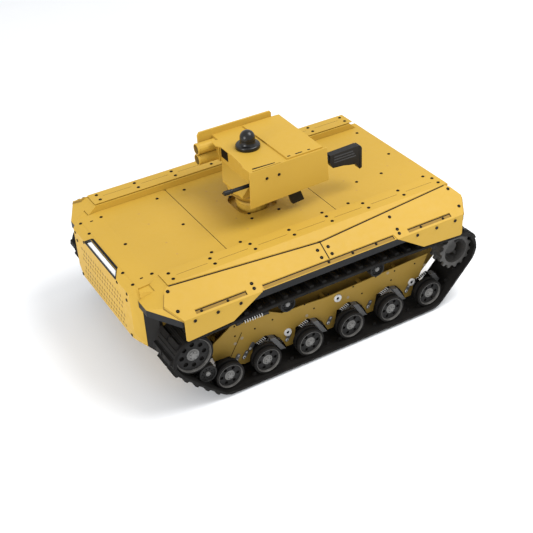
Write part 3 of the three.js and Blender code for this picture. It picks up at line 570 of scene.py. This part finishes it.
# Running gear --------------------------------------------------------------------------
def wheel_shape(x, z, radius, side, holes, hole_radius, hub_radius, rim_width, axle_end):
    """A rubber-tyred wheel with a guide groove, a holed web and a hub cap."""
    shape = Shape()
    centre = (x, 0, z)
    axis = (0, side, 0)
    tyre = radius - 9
    groove = radius - 17.5
    shape.turned([
        (tyre, WHEEL_IN), (radius - 1.5, WHEEL_IN), (radius, WHEEL_IN + 1.5), (radius, GROOVE_IN - 1.5),
        (radius - 1.5, GROOVE_IN), (groove, GROOVE_IN), (groove, GROOVE_OUT), (radius - 1.5, GROOVE_OUT),
        (radius, GROOVE_OUT + 1.5), (radius, WHEEL_OUT - 2.5), (radius - 2.5, WHEEL_OUT - 1),
        (tyre, WHEEL_OUT - 1),
    ], centre, axis, 56, slot=0)
    lip = tyre - rim_width
    web = WHEEL_OUT - 11
    shape.turned([
        (tyre, WHEEL_OUT - 3), (tyre - 1, WHEEL_OUT), (lip + 1, WHEEL_OUT), (lip, WHEEL_OUT - 1.5),
        (lip - 2, web),
    ], centre, axis, 56, slot=1)
    collar = hub_radius + 8
    shape.web((x, side * web, z), collar, lip - 2, 9, side, holes, hole_radius, slot=2, pit_slot=4, steps=24)
    shape.turned([
        (collar, web), (collar - 2, web + 2), (hub_radius, web + 2), (hub_radius, web + 5),
        (hub_radius - 2, web + 7), (hub_radius * 0.62, web + 8), (hub_radius * 0.58, web + 10),
        (hub_radius * 0.4, web + 10.5), (0, web + 10.5),
    ], centre, axis, 40, slot=3)
    for k in range(6):
        a = 2 * math.pi * (k + 0.5) / 6
        r = hub_radius * 0.8
        shape.turned([(2.0, web + 6), (2.0, web + 9.5), (0, web + 9.5)],
                     (x + r * math.cos(a), 0, z + r * math.sin(a)), axis, 6, slot=2)
    shape.turned([
        (tyre, WHEEL_IN), (tyre - 6, WHEEL_IN), (tyre - 10, WHEEL_IN + 6), (20, WHEEL_IN + 6),
        (20, WHEEL_IN), (AXLE_R, WHEEL_IN), (AXLE_R, axle_end), (0, axle_end),
    ], centre, axis, 40, slot=2)
    return shape


WHEEL_MATERIALS = [RUBBER, RIM, ALLOY, HUB, BLACK_AND_PAINTED_SHADE]


def make_wheels():
    """Road wheels and idlers."""
    for label, s in SIDES.items():
        for i, x in enumerate(WHEELS):
            shape = wheel_shape(x, WHEEL_Z, WHEEL_R, s, 6, 9.0, 17, 3, ARM_OUT + SEAT)
            piece(f"wheel_{i + 1}_{label}", shape, WHEEL_MATERIALS, f"wheel_{i + 1}_{label}",
                  [f"road_wheel_{i + 1}_{label}"])
        x, z, r = IDLER
        shape = wheel_shape(x, z, r, s, 8, 12.0, 22, 4, HULL_HALF + SEAT)
        piece(f"idler_wheel_{label}", shape, WHEEL_MATERIALS, f"idler_{label}",
              [f"idler_{label}"])


def roller_shape(x, z, radius, side, holes):
    """A small alloy roller: two tread bands with a guide groove, a holed web, a hub and an axle."""
    shape = Shape()
    axis = (0, side, 0)
    centre = (x, 0, z)
    out = WHEEL_OUT - 6
    shape.turned([(radius - 6, WHEEL_IN), (radius - 1, WHEEL_IN), (radius, WHEEL_IN + 1), (radius, GROOVE_IN),
                  (radius - 17, GROOVE_IN), (radius - 17, GROOVE_OUT), (radius, GROOVE_OUT),
                  (radius, out - 2), (radius - 2, out), (radius - 7, out), (radius - 8, out - 8)],
                 centre, axis, 40, slot=0)
    shape.web((x, side * (out - 8), z), 11, radius - 8, 8, side, holes, 3.6, slot=2, pit_slot=4, steps=16)
    shape.turned([(11, out - 8.5), (11, out - 1), (9, out), (0, out)], centre, axis, 24, slot=3)
    shape.turned([(radius - 6, WHEEL_IN), (16, WHEEL_IN), (AXLE_R, WHEEL_IN), (AXLE_R, HULL_HALF + SEAT),
                  (0, HULL_HALF + SEAT)], centre, axis, 24, slot=2)
    return shape


def make_rollers():
    """Return rollers along the top run, and the tension rollers."""
    materials = [ALLOY, RIM, ALLOY, HUB, BLACK_AND_PAINTED_SHADE]
    for label, s in SIDES.items():
        for i, (x, z, r) in enumerate(RETURNS):
            piece(f"top_roller_{i + 1}_{label}", roller_shape(x, z, r, s, 9), materials,
                  f"return_roller_{i + 1}_{label}", [f"return_roller_{i + 1}_{label}"])
        x, z, r = TENSION
        piece(f"tensioner_{label}", roller_shape(x, z, r, s, 9), materials, f"tension_roller_{label}",
              [f"tension_roller_{label}"])


def belt_segments():
    """The belt's inner face as arcs and lines in turn, each with its length last."""
    first, last = ((WHEELS[i], WHEEL_Z, WHEEL_R) for i in (0, -1))
    circles = [first, TENSION, IDLER, *RETURNS, SPROCKET, last]
    count = len(circles)
    leaves = []
    for i, (x, z, r) in enumerate(circles):
        nx, nz, nr = circles[(i + 1) % count]
        distance = math.hypot(nx - x, nz - z)
        leaves.append(math.atan2(nz - z, nx - x) - math.pi / 2 + math.asin((r - nr) / distance))
    segments = []
    for i, (x, z, r) in enumerate(circles):
        nx, nz, nr = circles[(i + 1) % count]
        begin = leaves[i - 1]
        turn = (leaves[i] - begin) % (2 * math.pi)
        segments.append(("arc", (x, z, r + SEAT), begin, turn, turn * (r + SEAT)))
        c, s = math.cos(leaves[i]), math.sin(leaves[i])
        a = (x + (r + SEAT) * c, z + (r + SEAT) * s)
        b = (nx + (nr + SEAT) * c, nz + (nr + SEAT) * s)
        segments.append(("line", a, b, leaves[i], math.hypot(b[0] - a[0], b[1] - a[1])))
    return segments


def belt_point(segments, distance):
    """Place on the belt's inner face, and the direction out of it, at a distance along it."""
    rest = distance % sum(s[-1] for s in segments)
    for kind, a, b, c, length in segments:
        if rest <= length:
            break
        rest -= length
    if kind == "arc":
        angle = b + c * rest / max(length, 1e-9)
        cos, sin = math.cos(angle), math.sin(angle)
        return (a[0] + a[2] * cos, a[1] + a[2] * sin), (cos, sin)
    t = rest / length
    return (a[0] + t * (b[0] - a[0]), a[1] + t * (b[1] - a[1])), (math.cos(c), math.sin(c))


def make_tracks():
    """Rubber belts with tread blocks in two rows, fine ribs, inner guide horns and edge pads."""
    segments = belt_segments()
    total = sum(s[-1] for s in segments)
    lugs = round(total / LUG_PITCH)
    pitch = total / lugs

    def at(distance, depth):
        (x, z), (nx, nz) = belt_point(segments, distance)
        return x + nx * depth, z + nz * depth

    def block(shape, start, end, low, high, y0, y1, taper, slot, round_top=0.0):
        """A block on the belt between two distances, narrower at its top by taper."""
        a0, a1 = at(start, low), at(end, low)
        b0, b1 = at(start + taper, high), at(end - taper, high)
        ys = (y0 + round_top, y1 - round_top)
        verts = [(a0[0], y0, a0[1]), (a1[0], y0, a1[1]), (b1[0], ys[0], b1[1]), (b0[0], ys[0], b0[1]),
                 (a0[0], y1, a0[1]), (a1[0], y1, a1[1]), (b1[0], ys[1], b1[1]), (b0[0], ys[1], b0[1])]
        faces = [(0, 1, 2, 3), (7, 6, 5, 4), (0, 4, 5, 1), (1, 5, 6, 2), (2, 6, 7, 3), (3, 7, 4, 0)]
        shape.add(verts, faces, slot)

    for label, side in SIDES.items():
        belt = Shape()
        steps = lugs * 6
        section = [(TRACK_IN + 1, 0.2), (TRACK_OUT - 1, 0.2), (TRACK_OUT - 1, BELT - 2),
                   (TRACK_OUT - 3, BELT), (TRACK_IN + 3, BELT), (TRACK_IN + 1, BELT - 2)]
        verts = []
        for i in range(steps):
            for y, d in section:
                x, z = at(total * i / steps, d)
                verts.append((x, side * y, z))
        m = len(section)
        faces = []
        for i in range(steps):
            a, b = i * m, (i + 1) % steps * m
            faces += [(a + k, a + (k + 1) % m, b + (k + 1) % m, b + k) for k in range(m)]
        belt.add(verts, faces)
        for i in range(lugs):
            s = i * pitch
            for y0, y1 in ((TRACK_IN, TRACK_IN + 84), (TRACK_IN + 96, TRACK_OUT - 12)):
                lo, hi = sorted((side * y0, side * y1))
                block(belt, s - 13, s + 13, BELT - 1, BELT + LUG, lo, hi, 4, 0, 2.5)
            lo, hi = sorted((side * (TRACK_IN + 80), side * (TRACK_IN + 100)))
            block(belt, s - 9, s + 9, BELT - 1, BELT + LUG - 5, lo, hi, 3, 0)
            for off in (0.25, 0.5, 0.75):
                lo, hi = sorted((side * (TRACK_IN + 8), side * (TRACK_OUT - 8)))
                rib = s + pitch * off
                block(belt, rib - 2.2, rib + 2.2, BELT - 1, BELT + 2.2, lo, hi, 1.2, 0, 1)
            lo, hi = sorted((side * (GROOVE_IN + 2), side * (GROOVE_OUT - 2)))
            block(belt, s - 11, s + 11, 1, -15, lo, hi, 5, 0, 3)
            lo, hi = sorted((side * (TRACK_OUT - 9), side * TRACK_OUT))
            block(belt, s - pitch / 2 + 1, s + pitch / 2 - 1, 2, BELT - 1.5, lo, hi, 1, 0, 0.5)
        piece(f"rubber_track_{label}", belt, [RUBBER], "chassis", [f"track_{label}"],
              sharp=30)


# Armour details ------------------------------------------------------------------------
SCREW_MATERIALS = [SCREW, SOCKET]
FALL = (SLOPE / math.hypot(1, SLOPE), 1 / math.hypot(1, SLOPE))
FIRST_BOLT, BOLT_PITCH = 680.5, 200
DECK_SCREWS = [(720, 282), (428, 282), (282, 282), (130, 93), (140, 138), (-5, 139), (-153, 282), (-299, 282),
               (-445, 140), (-591, 140), (-737, 282)]
SKIRT_SCREWS = [(731, 467), (731, 551), (379, 551), (379, 572), (24, 520), (24, 553), (-31, 521), (-31, 553),
                (-3, 487), (-384, 495), (-385, 554), (-383, 573), (-741, 469), (-741, 555)]
SLOT_SCREWS = (635, 510, -503, -630, 2, -125, -252)
REAR_PLUGS = -778


def make_armour_screws():
    """Black button screws on the rails, deck, skirts and nose."""
    screws = Shape()
    for s in SIDES.values():
        slope = (0, s * FALL[0], FALL[1])
        for k in range(8):
            for y in (373, 421):
                screws.screw((FIRST_BOLT - BOLT_PITCH * k, s * y, RAIL_TOP), radius=8.2)
        for x, y in SKIRT_SCREWS:
            screws.screw((x, s * y, skirt_height(y)), slope, 8.2)
        for x in SLOT_SCREWS:
            screws.screw((x, s * SLOT_LINE, sponson_height(SLOT_LINE)), slope, 6.6)
        for x, y in DECK_SCREWS:
            screws.screw((x, s * y, deck_height(x)), radius=8, height=2.6)
        for y in (298, 192):
            screws.screw((819, s * y, deck_height(819)), (0.09, 0, 1), 7.8)
            screws.screw((NOSE_FRONT, s * y, 527), (1, 0, 0), 7.8, 2.8)
    for x in (720, 428, -153, -299, -737):
        screws.screw((x, 0, deck_height(x)), radius=8, height=2.6)
    piece("armour_screws", screws, SCREW_MATERIALS, "chassis")


def strip(shape, corners, height, lift, slot=0):
    """A thin flat strip over (x, y) corners, a little above a surface of given height."""
    shape.prism([(x, y, height(abs(y)) + lift) for x, y in corners], (0, 0, -0.6 - lift), slot)


def end_height(x, y):
    """Height of the sponson near its sloping end."""
    return min(sponson_height(y), FRONT_FOOT + (HALF_LENGTH - abs(x - CENTRE_X)) * FRONT_SLOPE)


def make_gaps_and_painted_shade():
    """Painted shade: dark strips over a shaded base inside the skirts' slots, a dark strip under the rail's
    flange, shaded walls under the skirts' ends with painted shadow beside them; dark seams between the
    panels.
    """
    gaps = Shape()
    for s in SIDES.values():
        # Painted shade in each slot: a shaded base, and dark strips along its upper wall and at its end.
        for x0, x1, y0, y1 in ((418, 662, 566.5, 584.5), (-675, -431, 566.5, 584.5), (-350, 337, 568.5, 586)):
            for x2, y2, lift, slot in ((x1, y1, 0.3, 1), (x1, y0 + 4.5, 0.6, 0), (x0 + 4, y1, 0.6, 0)):
                corners = [(x0, s * y0), (x2, s * y0), (x2, s * y2), (x0, s * y2)]
                strip(gaps, corners, sponson_height, lift, slot)
        # Painted shadow: a dark strip on the skirt along the rail flange's edge.
        for end in (RAIL_FRONT, 2 * CENTRE_X - RAIL_FRONT):
            edge = [(end, s * RAIL_BEND), (CENTRE_X, s * RAIL_EDGE), (CENTRE_X, s * (RAIL_EDGE + 5)),
                    (end, s * (RAIL_BEND + 5))]
            strip(gaps, edge, skirt_height, 0.25)
        seam = [(CENTRE_X - 2.8, s * (RAIL_EDGE + 4)), (CENTRE_X + 2.8, s * (RAIL_EDGE + 4)),
                (CENTRE_X + 2.8, s * 567), (CENTRE_X - 2.8, s * 567)]
        strip(gaps, seam, skirt_height, 0.25)
        # Painted shade: shaded walls under the skirts' front and rear ends, and painted shadow on the
        # sponson's slope beside them.
        for toward in (1, -1):
            corners = [(714, 444), (743.5, 461), (774.5, 514), (725, 593)]
            for (xa, ya), (xb, yb) in zip(corners, corners[1:]):
                ends = [(CENTRE_X + toward * (x - CENTRE_X), s * y, skirt_height(y) - 4.2)
                        for x, y in ((xa, ya), (xb, yb), (xb - 2, yb - 1), (xa - 2, ya - 1))]
                gaps.prism(ends, (0, 0, -8), 1)
                shade = [(CENTRE_X + toward * (x - CENTRE_X), s * y, end_height(x, y) + 0.4)
                         for x, y in ((xa, ya), (xb, yb), (xb + 6, yb), (xa + 6, ya))]
                gaps.prism(shade, (0, 0, -1), 1)
    for x in (360, -222):
        seam = [(x - 1.3, -338), (x + 1.3, -338), (x + 1.3, 338), (x - 1.3, 338)]
        strip(gaps, seam, lambda y: DECK_TOP, 0.15)
    piece("panel_gaps_and_painted_shade", gaps, [DARK_SEAM_AND_PAINTED_SHADE, SHADED], "chassis")


def make_corner_covers():
    """Small plates that close the sponsons' fronts beside the hull's bevelled corners."""
    covers = Shape()
    for s in SIDES.values():
        corners = [(757, 400), (815, 400), (815, 354)]
        covers.prism([(x, s * y, end_height(x, y) + 0.3) for x, y in corners], (0, 0, -2.5))
    piece("corner_covers", covers, [YELLOW], "chassis")


def make_armour_marks():
    """Pressed lines on the rails, lifting slots by the deck's corners, and paint-filled plugs; the lines and
    slots are flat dark marks of painted shade.
    """
    lines = Shape()
    marks = Shape()
    plugs = Shape()

    def plug(x, y):
        plugs.turned([(5.5, -0.3), (5.2, 0.18), (0, 0.22)], (x, y, deck_height(x)), (0, 0, 1), 14)

    for s in SIDES.values():
        for k in range(7):
            front = FIRST_BOLT - BOLT_PITCH * k - 26
            y0, y1 = sorted((s * 399, s * 401))
            lines.box((front - BOLT_PITCH + 52, y0, RAIL_TOP - 0.5), (front, y1, RAIL_TOP + 0.12))
        z = deck_height(765)
        marks.capsule_flat((758, s * 281), (773, s * 281), 4, z - 0.8, z + 0.25)
        for x in (560, 200, -86, -400, -660):
            for y in (95, 205):
                plug(x, s * y)
        for y in (122, 244):
            plug(REAR_PLUGS, s * y)
    plug(REAR_PLUGS, 0)
    piece("rail_lines", lines, [GROOVE_PAINTED_SHADE], "chassis")
    piece("lifting_slots", marks, [DARK_SEAM_AND_PAINTED_SHADE], "chassis")
    piece("deck_plugs", plugs, [PLUG], "chassis")


def bevel_point(s, y, n):
    """A place on the nose's bevel: s down it from its top edge, n out of it."""
    drop = math.sqrt(0.5)
    return (NOSE_FRONT - BEVEL + (s + n) * drop, y, deck_height(NOSE_FRONT - BEVEL) + (n - s) * drop)


def bevel_loop(s0, half0, s1, half1, n):
    """A trapezium on the nose's bevel, half0 wide each way at s0 and half1 at s1."""
    return [bevel_point(s0, half0, n), bevel_point(s0, -half0, n), bevel_point(s1, -half1, n),
            bevel_point(s1, half1, n)]


def make_light_bar():
    """A dark frame set in the bevel, with sloping walls down to a white strip lens."""
    bar = Shape()
    bar.loft([bevel_loop(0.4, 147, 35, 183, -0.5), bevel_loop(0.6, 147.4, 34.8, 182.4, 1.2),
              bevel_loop(4.5, 146, 32.5, 172, 1.2)], 0, cap=False)
    bar.loft([bevel_loop(4.5, 146, 32.5, 172, 1.2), bevel_loop(5, 147, 32, 171, -1.5),
              bevel_loop(13.5, 142, 31.5, 164, -8.2)], 1)
    bar.loft([bevel_loop(12, 140, 32, 163, -8.4), bevel_loop(12.4, 139.5, 31.8, 162, -4.6)], 2)
    edge = NOSE_FRONT - BEVEL
    top = [(edge - 7, 140), (edge + 0.5, 148), (edge + 0.5, -148), (edge - 7, -140)]
    bar.prism([(x, y, deck_height(x) + 0.9) for x, y in top], (0, 0, -1.5), 0)
    low = deck_height(edge) - BEVEL
    front = [(184, low + 0.5), (-184, low + 0.5), (-176, low - 6), (176, low - 6)]
    bar.prism([(NOSE_FRONT - 0.6, y, z) for y, z in front], (1.5, 0, 0), 0)
    piece("light_bar", bar, [BLACK_TRIM, LAMP_WALL, LENS], "chassis", ["headlight_bar"], sharp=20)


def make_grille():
    """Two groups of three staggered rows of small slanted cooling slots in the nose, flat dark marks of
    painted shade.
    """
    slots = Shape()
    for top, phase in ((467, 0), (438, 14), (409, 0), (367, 14), (338, 0), (310, 14)):
        for k in range(17):
            y = -238 + phase + 28 * k
            if abs(y) > 240:
                continue
            slots.prism([(NOSE_FRONT - 0.4, y - 7.5, top + 5), (NOSE_FRONT - 0.4, y + 1, top + 7),
                         (NOSE_FRONT - 0.4, y + 7.5, top - 5), (NOSE_FRONT - 0.4, y - 1, top - 7)],
                        (0.65, 0, 0))
    piece("nose_grille", slots, [GROOVE_PAINTED_SHADE], "chassis")


# Suspension details --------------------------------------------------------------------
def make_suspension():
    """Arm links, dampers and springs on the side plates, the track tensioners, roller brackets."""
    for label, s in SIDES.items():
        face = PLATE_OUT + SEAT

        def flat(shape, outline, y0, y1, slot=0):
            shape.prism([(x, s * y0, z) for x, z in outline], (0, s * (y1 - y0), 0), slot)

        for i, x in enumerate(WHEELS):
            pivot = x - ARM_REACH if i == 0 else x + ARM_REACH
            link_shape = Shape()
            link_shape.capsule((pivot, 88), (pivot - 15, 112), 9.5, s * face, s * (face + 4), 0)
            link_shape.screw((pivot, s * (face + 4), 90), (0, s, 0), 8, 2.4, 1, 2)
            link_shape.screw((pivot - 15, s * (face + 4), 112), (0, s, 0), 5, 1.6, 1, 2)
            piece(f"arm_link_{i + 1}_{label}", link_shape, [GREY_BLOCK, WASHER, SCREW],
                  f"arm_{i + 1}_{label}", bevel=0.6)
        plate = Shape()
        for x, z in ((167, 131), (-111, 211), (-543, 131)):
            plate.turned([(20, 0), (20, 5), (18, 7.5), (11, 7.5), (9, 5.5), (9, 1.5), (0, 1.5)],
                         (x, s * face, z), (0, s, 0), 28, 1)
            plate.turned([(7, 1.5), (7, 3.5), (0, 3.5)], (x, s * face, z), (0, s, 0), 6, 2)
        plate.capsule((368, 123), (353, 145), 9.5, s * face, s * (face + 4), 0)
        plate.screw((368, s * (face + 4), 125), (0, s, 0), 6.5, 2.4, 1, 2)
        for x in WHEELS[1:]:
            flat(plate, [(x - 49, 158), (x - 78, 152), (x - 130, 68), (x - 102, 73)], face, face + 30, 0)
            flat(plate, [(x - 82, 150), (x - 90, 146), (x - 112, 112), (x - 106, 110)], face, face + 33, 2)
            plate.turned([(10, 0), (10, 5), (8, 7), (0, 7)], (x - 40, s * face, 152), (0, s, 0), 20, 2)
            plate.spring((x + 8, s * (face + 5), 136), (x - 36, s * (face + 5), 156), 7.5, 1.7, 5, 1, 12, 5)
            plate.tube([(x + 12, s * (face + 5), 134), (x - 40, s * (face + 5), 158)], 5.5, 10, 2)
        for x, z in ((243, 235), (438, 280), (261, 279), (70, 248), (336, 224), (439, 226), (-60, 252),
                     (-200, 240), (-330, 246), (-440, 236), (-560, 232), (20, 205), (-250, 180), (-420, 190)):
            plate.screw((x, s * face, z), (0, s, 0), 4.6, 1.6, 2, 2)
        for x, z in ((441, 184), (405, 200), (60, 180), (-170, 190), (-400, 240), (-620, 200)):
            plate.turned([(8, -0.1), (8, 0.5), (0, 0.7)], (x, s * face, z), (0, s, 0), 16, 3)
        piece(f"plate_fittings_{label}", plate, [GREY_BLOCK, WASHER, SCREW, FADED], "chassis",
              sharp=30)
        tension = Shape()
        y = s * (face + 14)
        tension.tube([(436, y, 306), (418, y, 306)], 13, 16, 0)
        tension.tube([(418, y, 306), (404, y, 305)], 10, 16, 0)
        tension.tube([(404, y, 305), (300, y, 305)], 7.5, 12, 2)
        tension.tube([(302, y, 305), (274, y, 305)], 13, 16, 0)
        tension.spring((403, y, 305), (303, y, 305), 12, 2.6, 8, 1, 14, 6)
        tension.tube([(404, s * face, 232), (468, s * face, 121)], 1.6, 6, 2)
        for x in (425, 279):
            tension.box((x - 7, min(s * face, y), 296), (x + 7, max(s * face, y), 309), 0)
        piece(f"track_tensioner_{label}", tension, [DARK, WASHER, BLACK_AND_PAINTED_SHADE], "chassis")
        brackets = Shape()
        for x, z, r in RETURNS:
            arm = [(x - 13, z + 12), (x - 22, z - 26), (x - 64, z - 66), (x - 44, z - 78), (x + 6, z - 34),
                   (x + 14, z)]
            flat(brackets, arm, HULL_HALF + 30, face - 20, 0)
            foot = (x - 52, s * (face - 14), z - 62)
            brackets.turned([(11, 0), (11, 8), (8, 10), (0, 10)], foot, (0, s, 0), 20, 1)
        piece(f"roller_brackets_{label}", brackets, [GREY_BLOCK, HUB], "chassis", bevel=1.0)


# Turret details ------------------------------------------------------------------------
def rounded_square(half, corner, z, steps=6):
    """A square's outline with round corners, about the turret's axis."""
    points = []
    for quarter in range(4):
        a0 = quarter * math.pi / 2
        cx = (half - corner) * (1 if quarter in (0, 3) else -1)
        cy = (half - corner) * (1 if quarter in (0, 1) else -1)
        for i in range(steps + 1):
            t = a0 + math.pi / 2 * i / steps
            points.append((TURRET_X + cx + corner * math.cos(t), cy + corner * math.sin(t), z))
    return points


def make_turret():
    """The well's rim, turntable rings, camera dome, screws, roof marks and launch tube liners; the black
    opening on the housing's front, the roof's slit and dashes and the darker bores are painted shade.
    """
    rim = Shape()
    rim.loft([rounded_square(100.5, 50.5, DECK_TOP + 0.2), rounded_square(99, 49, DECK_TOP - 0.5),
              rounded_square(98.5, 48.5, DECK_TOP - 19.5)], 0, cap=False)
    piece("well_rim", rim, [SHADED], "chassis")
    rings = Shape()
    axis_up = (0, 0, 1)
    foot = (TURRET_X, 0, 0)
    rings.turned([(76, 579), (79, 580), (79, 588), (76, 589)], foot, axis_up, 48, 0)
    rings.turned([(72, 602), (77, 603), (77, 608), (72, 609)], foot, axis_up, 48, 1)
    rings.turned([(112, 650), (116, 651), (116, 660), (112, 661)], foot, axis_up, 56, 1)
    rings.turned([(112, 668), (115.5, 669), (115.5, 681), (112, 682)], foot, axis_up, 56, 0)
    piece("turntable_rings", rings, [YELLOW, SHADED], "turret")
    dome = Shape()
    centre = (TURRET_X, -6, ROOF + SEAT)
    ring = [(0, 0), (57, 0), (58, 1.5), (58, 9)]
    ring += [(50 + 8 * math.cos(t), 12 + 8 * math.sin(t)) for t in np.linspace(-0.2, math.pi / 2, 7)]
    ring += [(42, 20.5), (39, 22), (37, 26), (36.2, 32), (36.2, 38)]
    dome.turned(ring, centre, axis_up, 56, 0)
    dome.turned([(36.2, 38), (36.6, 38.4), (36.6, 41), (36.2, 41.4)], centre, axis_up, 56, 1)
    cap = [(36 * math.cos(t), 50 + 36 * math.sin(t)) for t in np.linspace(0, math.pi / 2, 12)]
    dome.turned([(36, 41.4)] + cap[:-1] + [(0, 86)], centre, axis_up, 56, 0)
    piece("camera_dome_shell", dome, [GLOSS, GLOSS_SEAM], "turret", ["camera_dome"])
    shell = Shape()
    for x in (92, 29):
        shell.screw((x, ROOF_HALF, 806), (0, 1, 0), 7.5)
    for z in (804, 870):
        for x in (-150, 0, 170):
            shell.screw((x, -ROOF_HALF - 6, z), (0, -1, 0), 5.0, 1.8)
    # Painted shade: a black opening on the housing's front, and a black slit with dashes along the roof's
    # edge by the shield.
    shell.box((129.5, -147, 768), (130.8, -80, 851), 0)
    slit = [(34, 192), (147, 184), (150, 194), (36, 198)]
    shell.prism([(x, y, ROOF - 0.5) for x, y in slit], (0, 0, 0.9), 0)
    for x, length in ((-42, 16), (-94, 36), (-148, 14)):
        shell.box((x - length / 2, 186, ROOF + 6.5), (x + length / 2, 194, ROOF + 7.3), 0)
    mouth = [(27, 231), (28, 232), (28, 240), (27, 241.5), (23.2, 241.8)]
    bore = [(22.9, 241.7), (22.4, 238), (22.4, 146), (0, 145)]
    for z in (824, 768):
        shell.turned(mouth, (0, -185, z), (1, 0, 0), 32, 2)
        shell.turned(bore, (0, -185, z), (1, 0, 0), 32, 3)
    piece("turret_fittings", shell, [SCREW, SOCKET, YELLOW, BORE_PAINTED_SHADE], "turret")


def make_gun():
    """Muzzle, hand guard ribs, top rail and stock mouldings on the gun's block; the stock's side ribs and
    butt bar are lighter grey, a painted highlight.
    """
    trim = Shape()
    y, z = 176, 774
    bar = (0, y, z)
    muzzle = [(9, 248), (11, 250), (11, 258), (9.6, 260), (9.6, 264), (11.5, 266), (11.5, 288),
              (10.5, 291.8), (5, 291.8), (4.5, 270), (0, 270)]
    trim.turned(muzzle, bar, (1, 0, 0), 24)
    trim.turned([(24, 140), (25.5, 142), (25.5, 149), (22, 151), (9, 152)], bar, (1, 0, 0), 24)
    for i in range(5):
        x = 8 + 26 * i
        trim.turned([(24, x), (25.2, x + 1), (25.2, x + 8), (24, x + 9)], bar, (1, 0, 0), 24)
    for i in range(18):
        x = -176 + 9.6 * i
        trim.box((x, y - 9, z + 25), (x + 5, y + 9, z + 29.5))
    trim.box((-178, y - 7, z + 25), (-4, y + 7, z + 27.5))
    # Painted highlight: lighter grey ribs and a bar on each side of the stock.
    for side in (-1, 1):
        y0, y1 = sorted((y + side * 17.5, y + side * 19.2))
        for k in range(3):
            trim.box((-404 + 8 * k, y0, 752 + 14 * k), (-282, y1, 758 + 14 * k), 1)
        trim.box((-436, y0, 690), (-427, y1, 780), 1)
    pad = [(-430, 680), (-438, 684), (-438, 786), (-432, 797), (-424, 801), (-422, 792), (-426, 690)]
    trim.prism([(x, y - 19.5, h) for x, h in pad], (0, 39, 0))
    for i in range(6):
        x = -268 - 22 * i
        trim.turned([(15, 0), (16.5, 1), (16.5, 9), (15, 10)], (x, y, z + 4), (1, 0, 0), 20)
    piece("gun_trim", trim, [GUN, GUN_PAINTED_HIGHLIGHT], "gun", bevel=0.7)


# Run ------------------------------------------------------------------------------------
make_camera()
bpy.context.scene.view_settings.view_transform = "Standard"
make_stage()
make_wheels()
make_rollers()
make_tracks()
make_armour_screws()
make_gaps_and_painted_shade()
make_corner_covers()
make_armour_marks()
make_light_bar()
make_grille()
make_suspension()
make_turret()
make_gun()

NODE_LOOKS = {
    "side_plate": YELLOW_LOW, "swing_arm": DARK, "drive_motor": DARK, "battery_pack": DARK,
    "drive_sprocket": STEEL, "gun": GUN, "hull_tub": HULL_PAINTED_SHADE, "sponson": SPONSON_PAINT,
    "skirt": SKIRT_PAINT, "nose_panel": NOSE_PAINT,
}
REPLACED = (
    "road_wheel", "idler", "return_roller", "tension_roller", "track_", "headlight_bar", "camera_dome",
)
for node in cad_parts:
    if node.startswith(REPLACED):
        continue
    looks = [material for start, material in NODE_LOOKS.items() if node.startswith(start)]
    finish_node(node, looks[0] if looks else YELLOW)
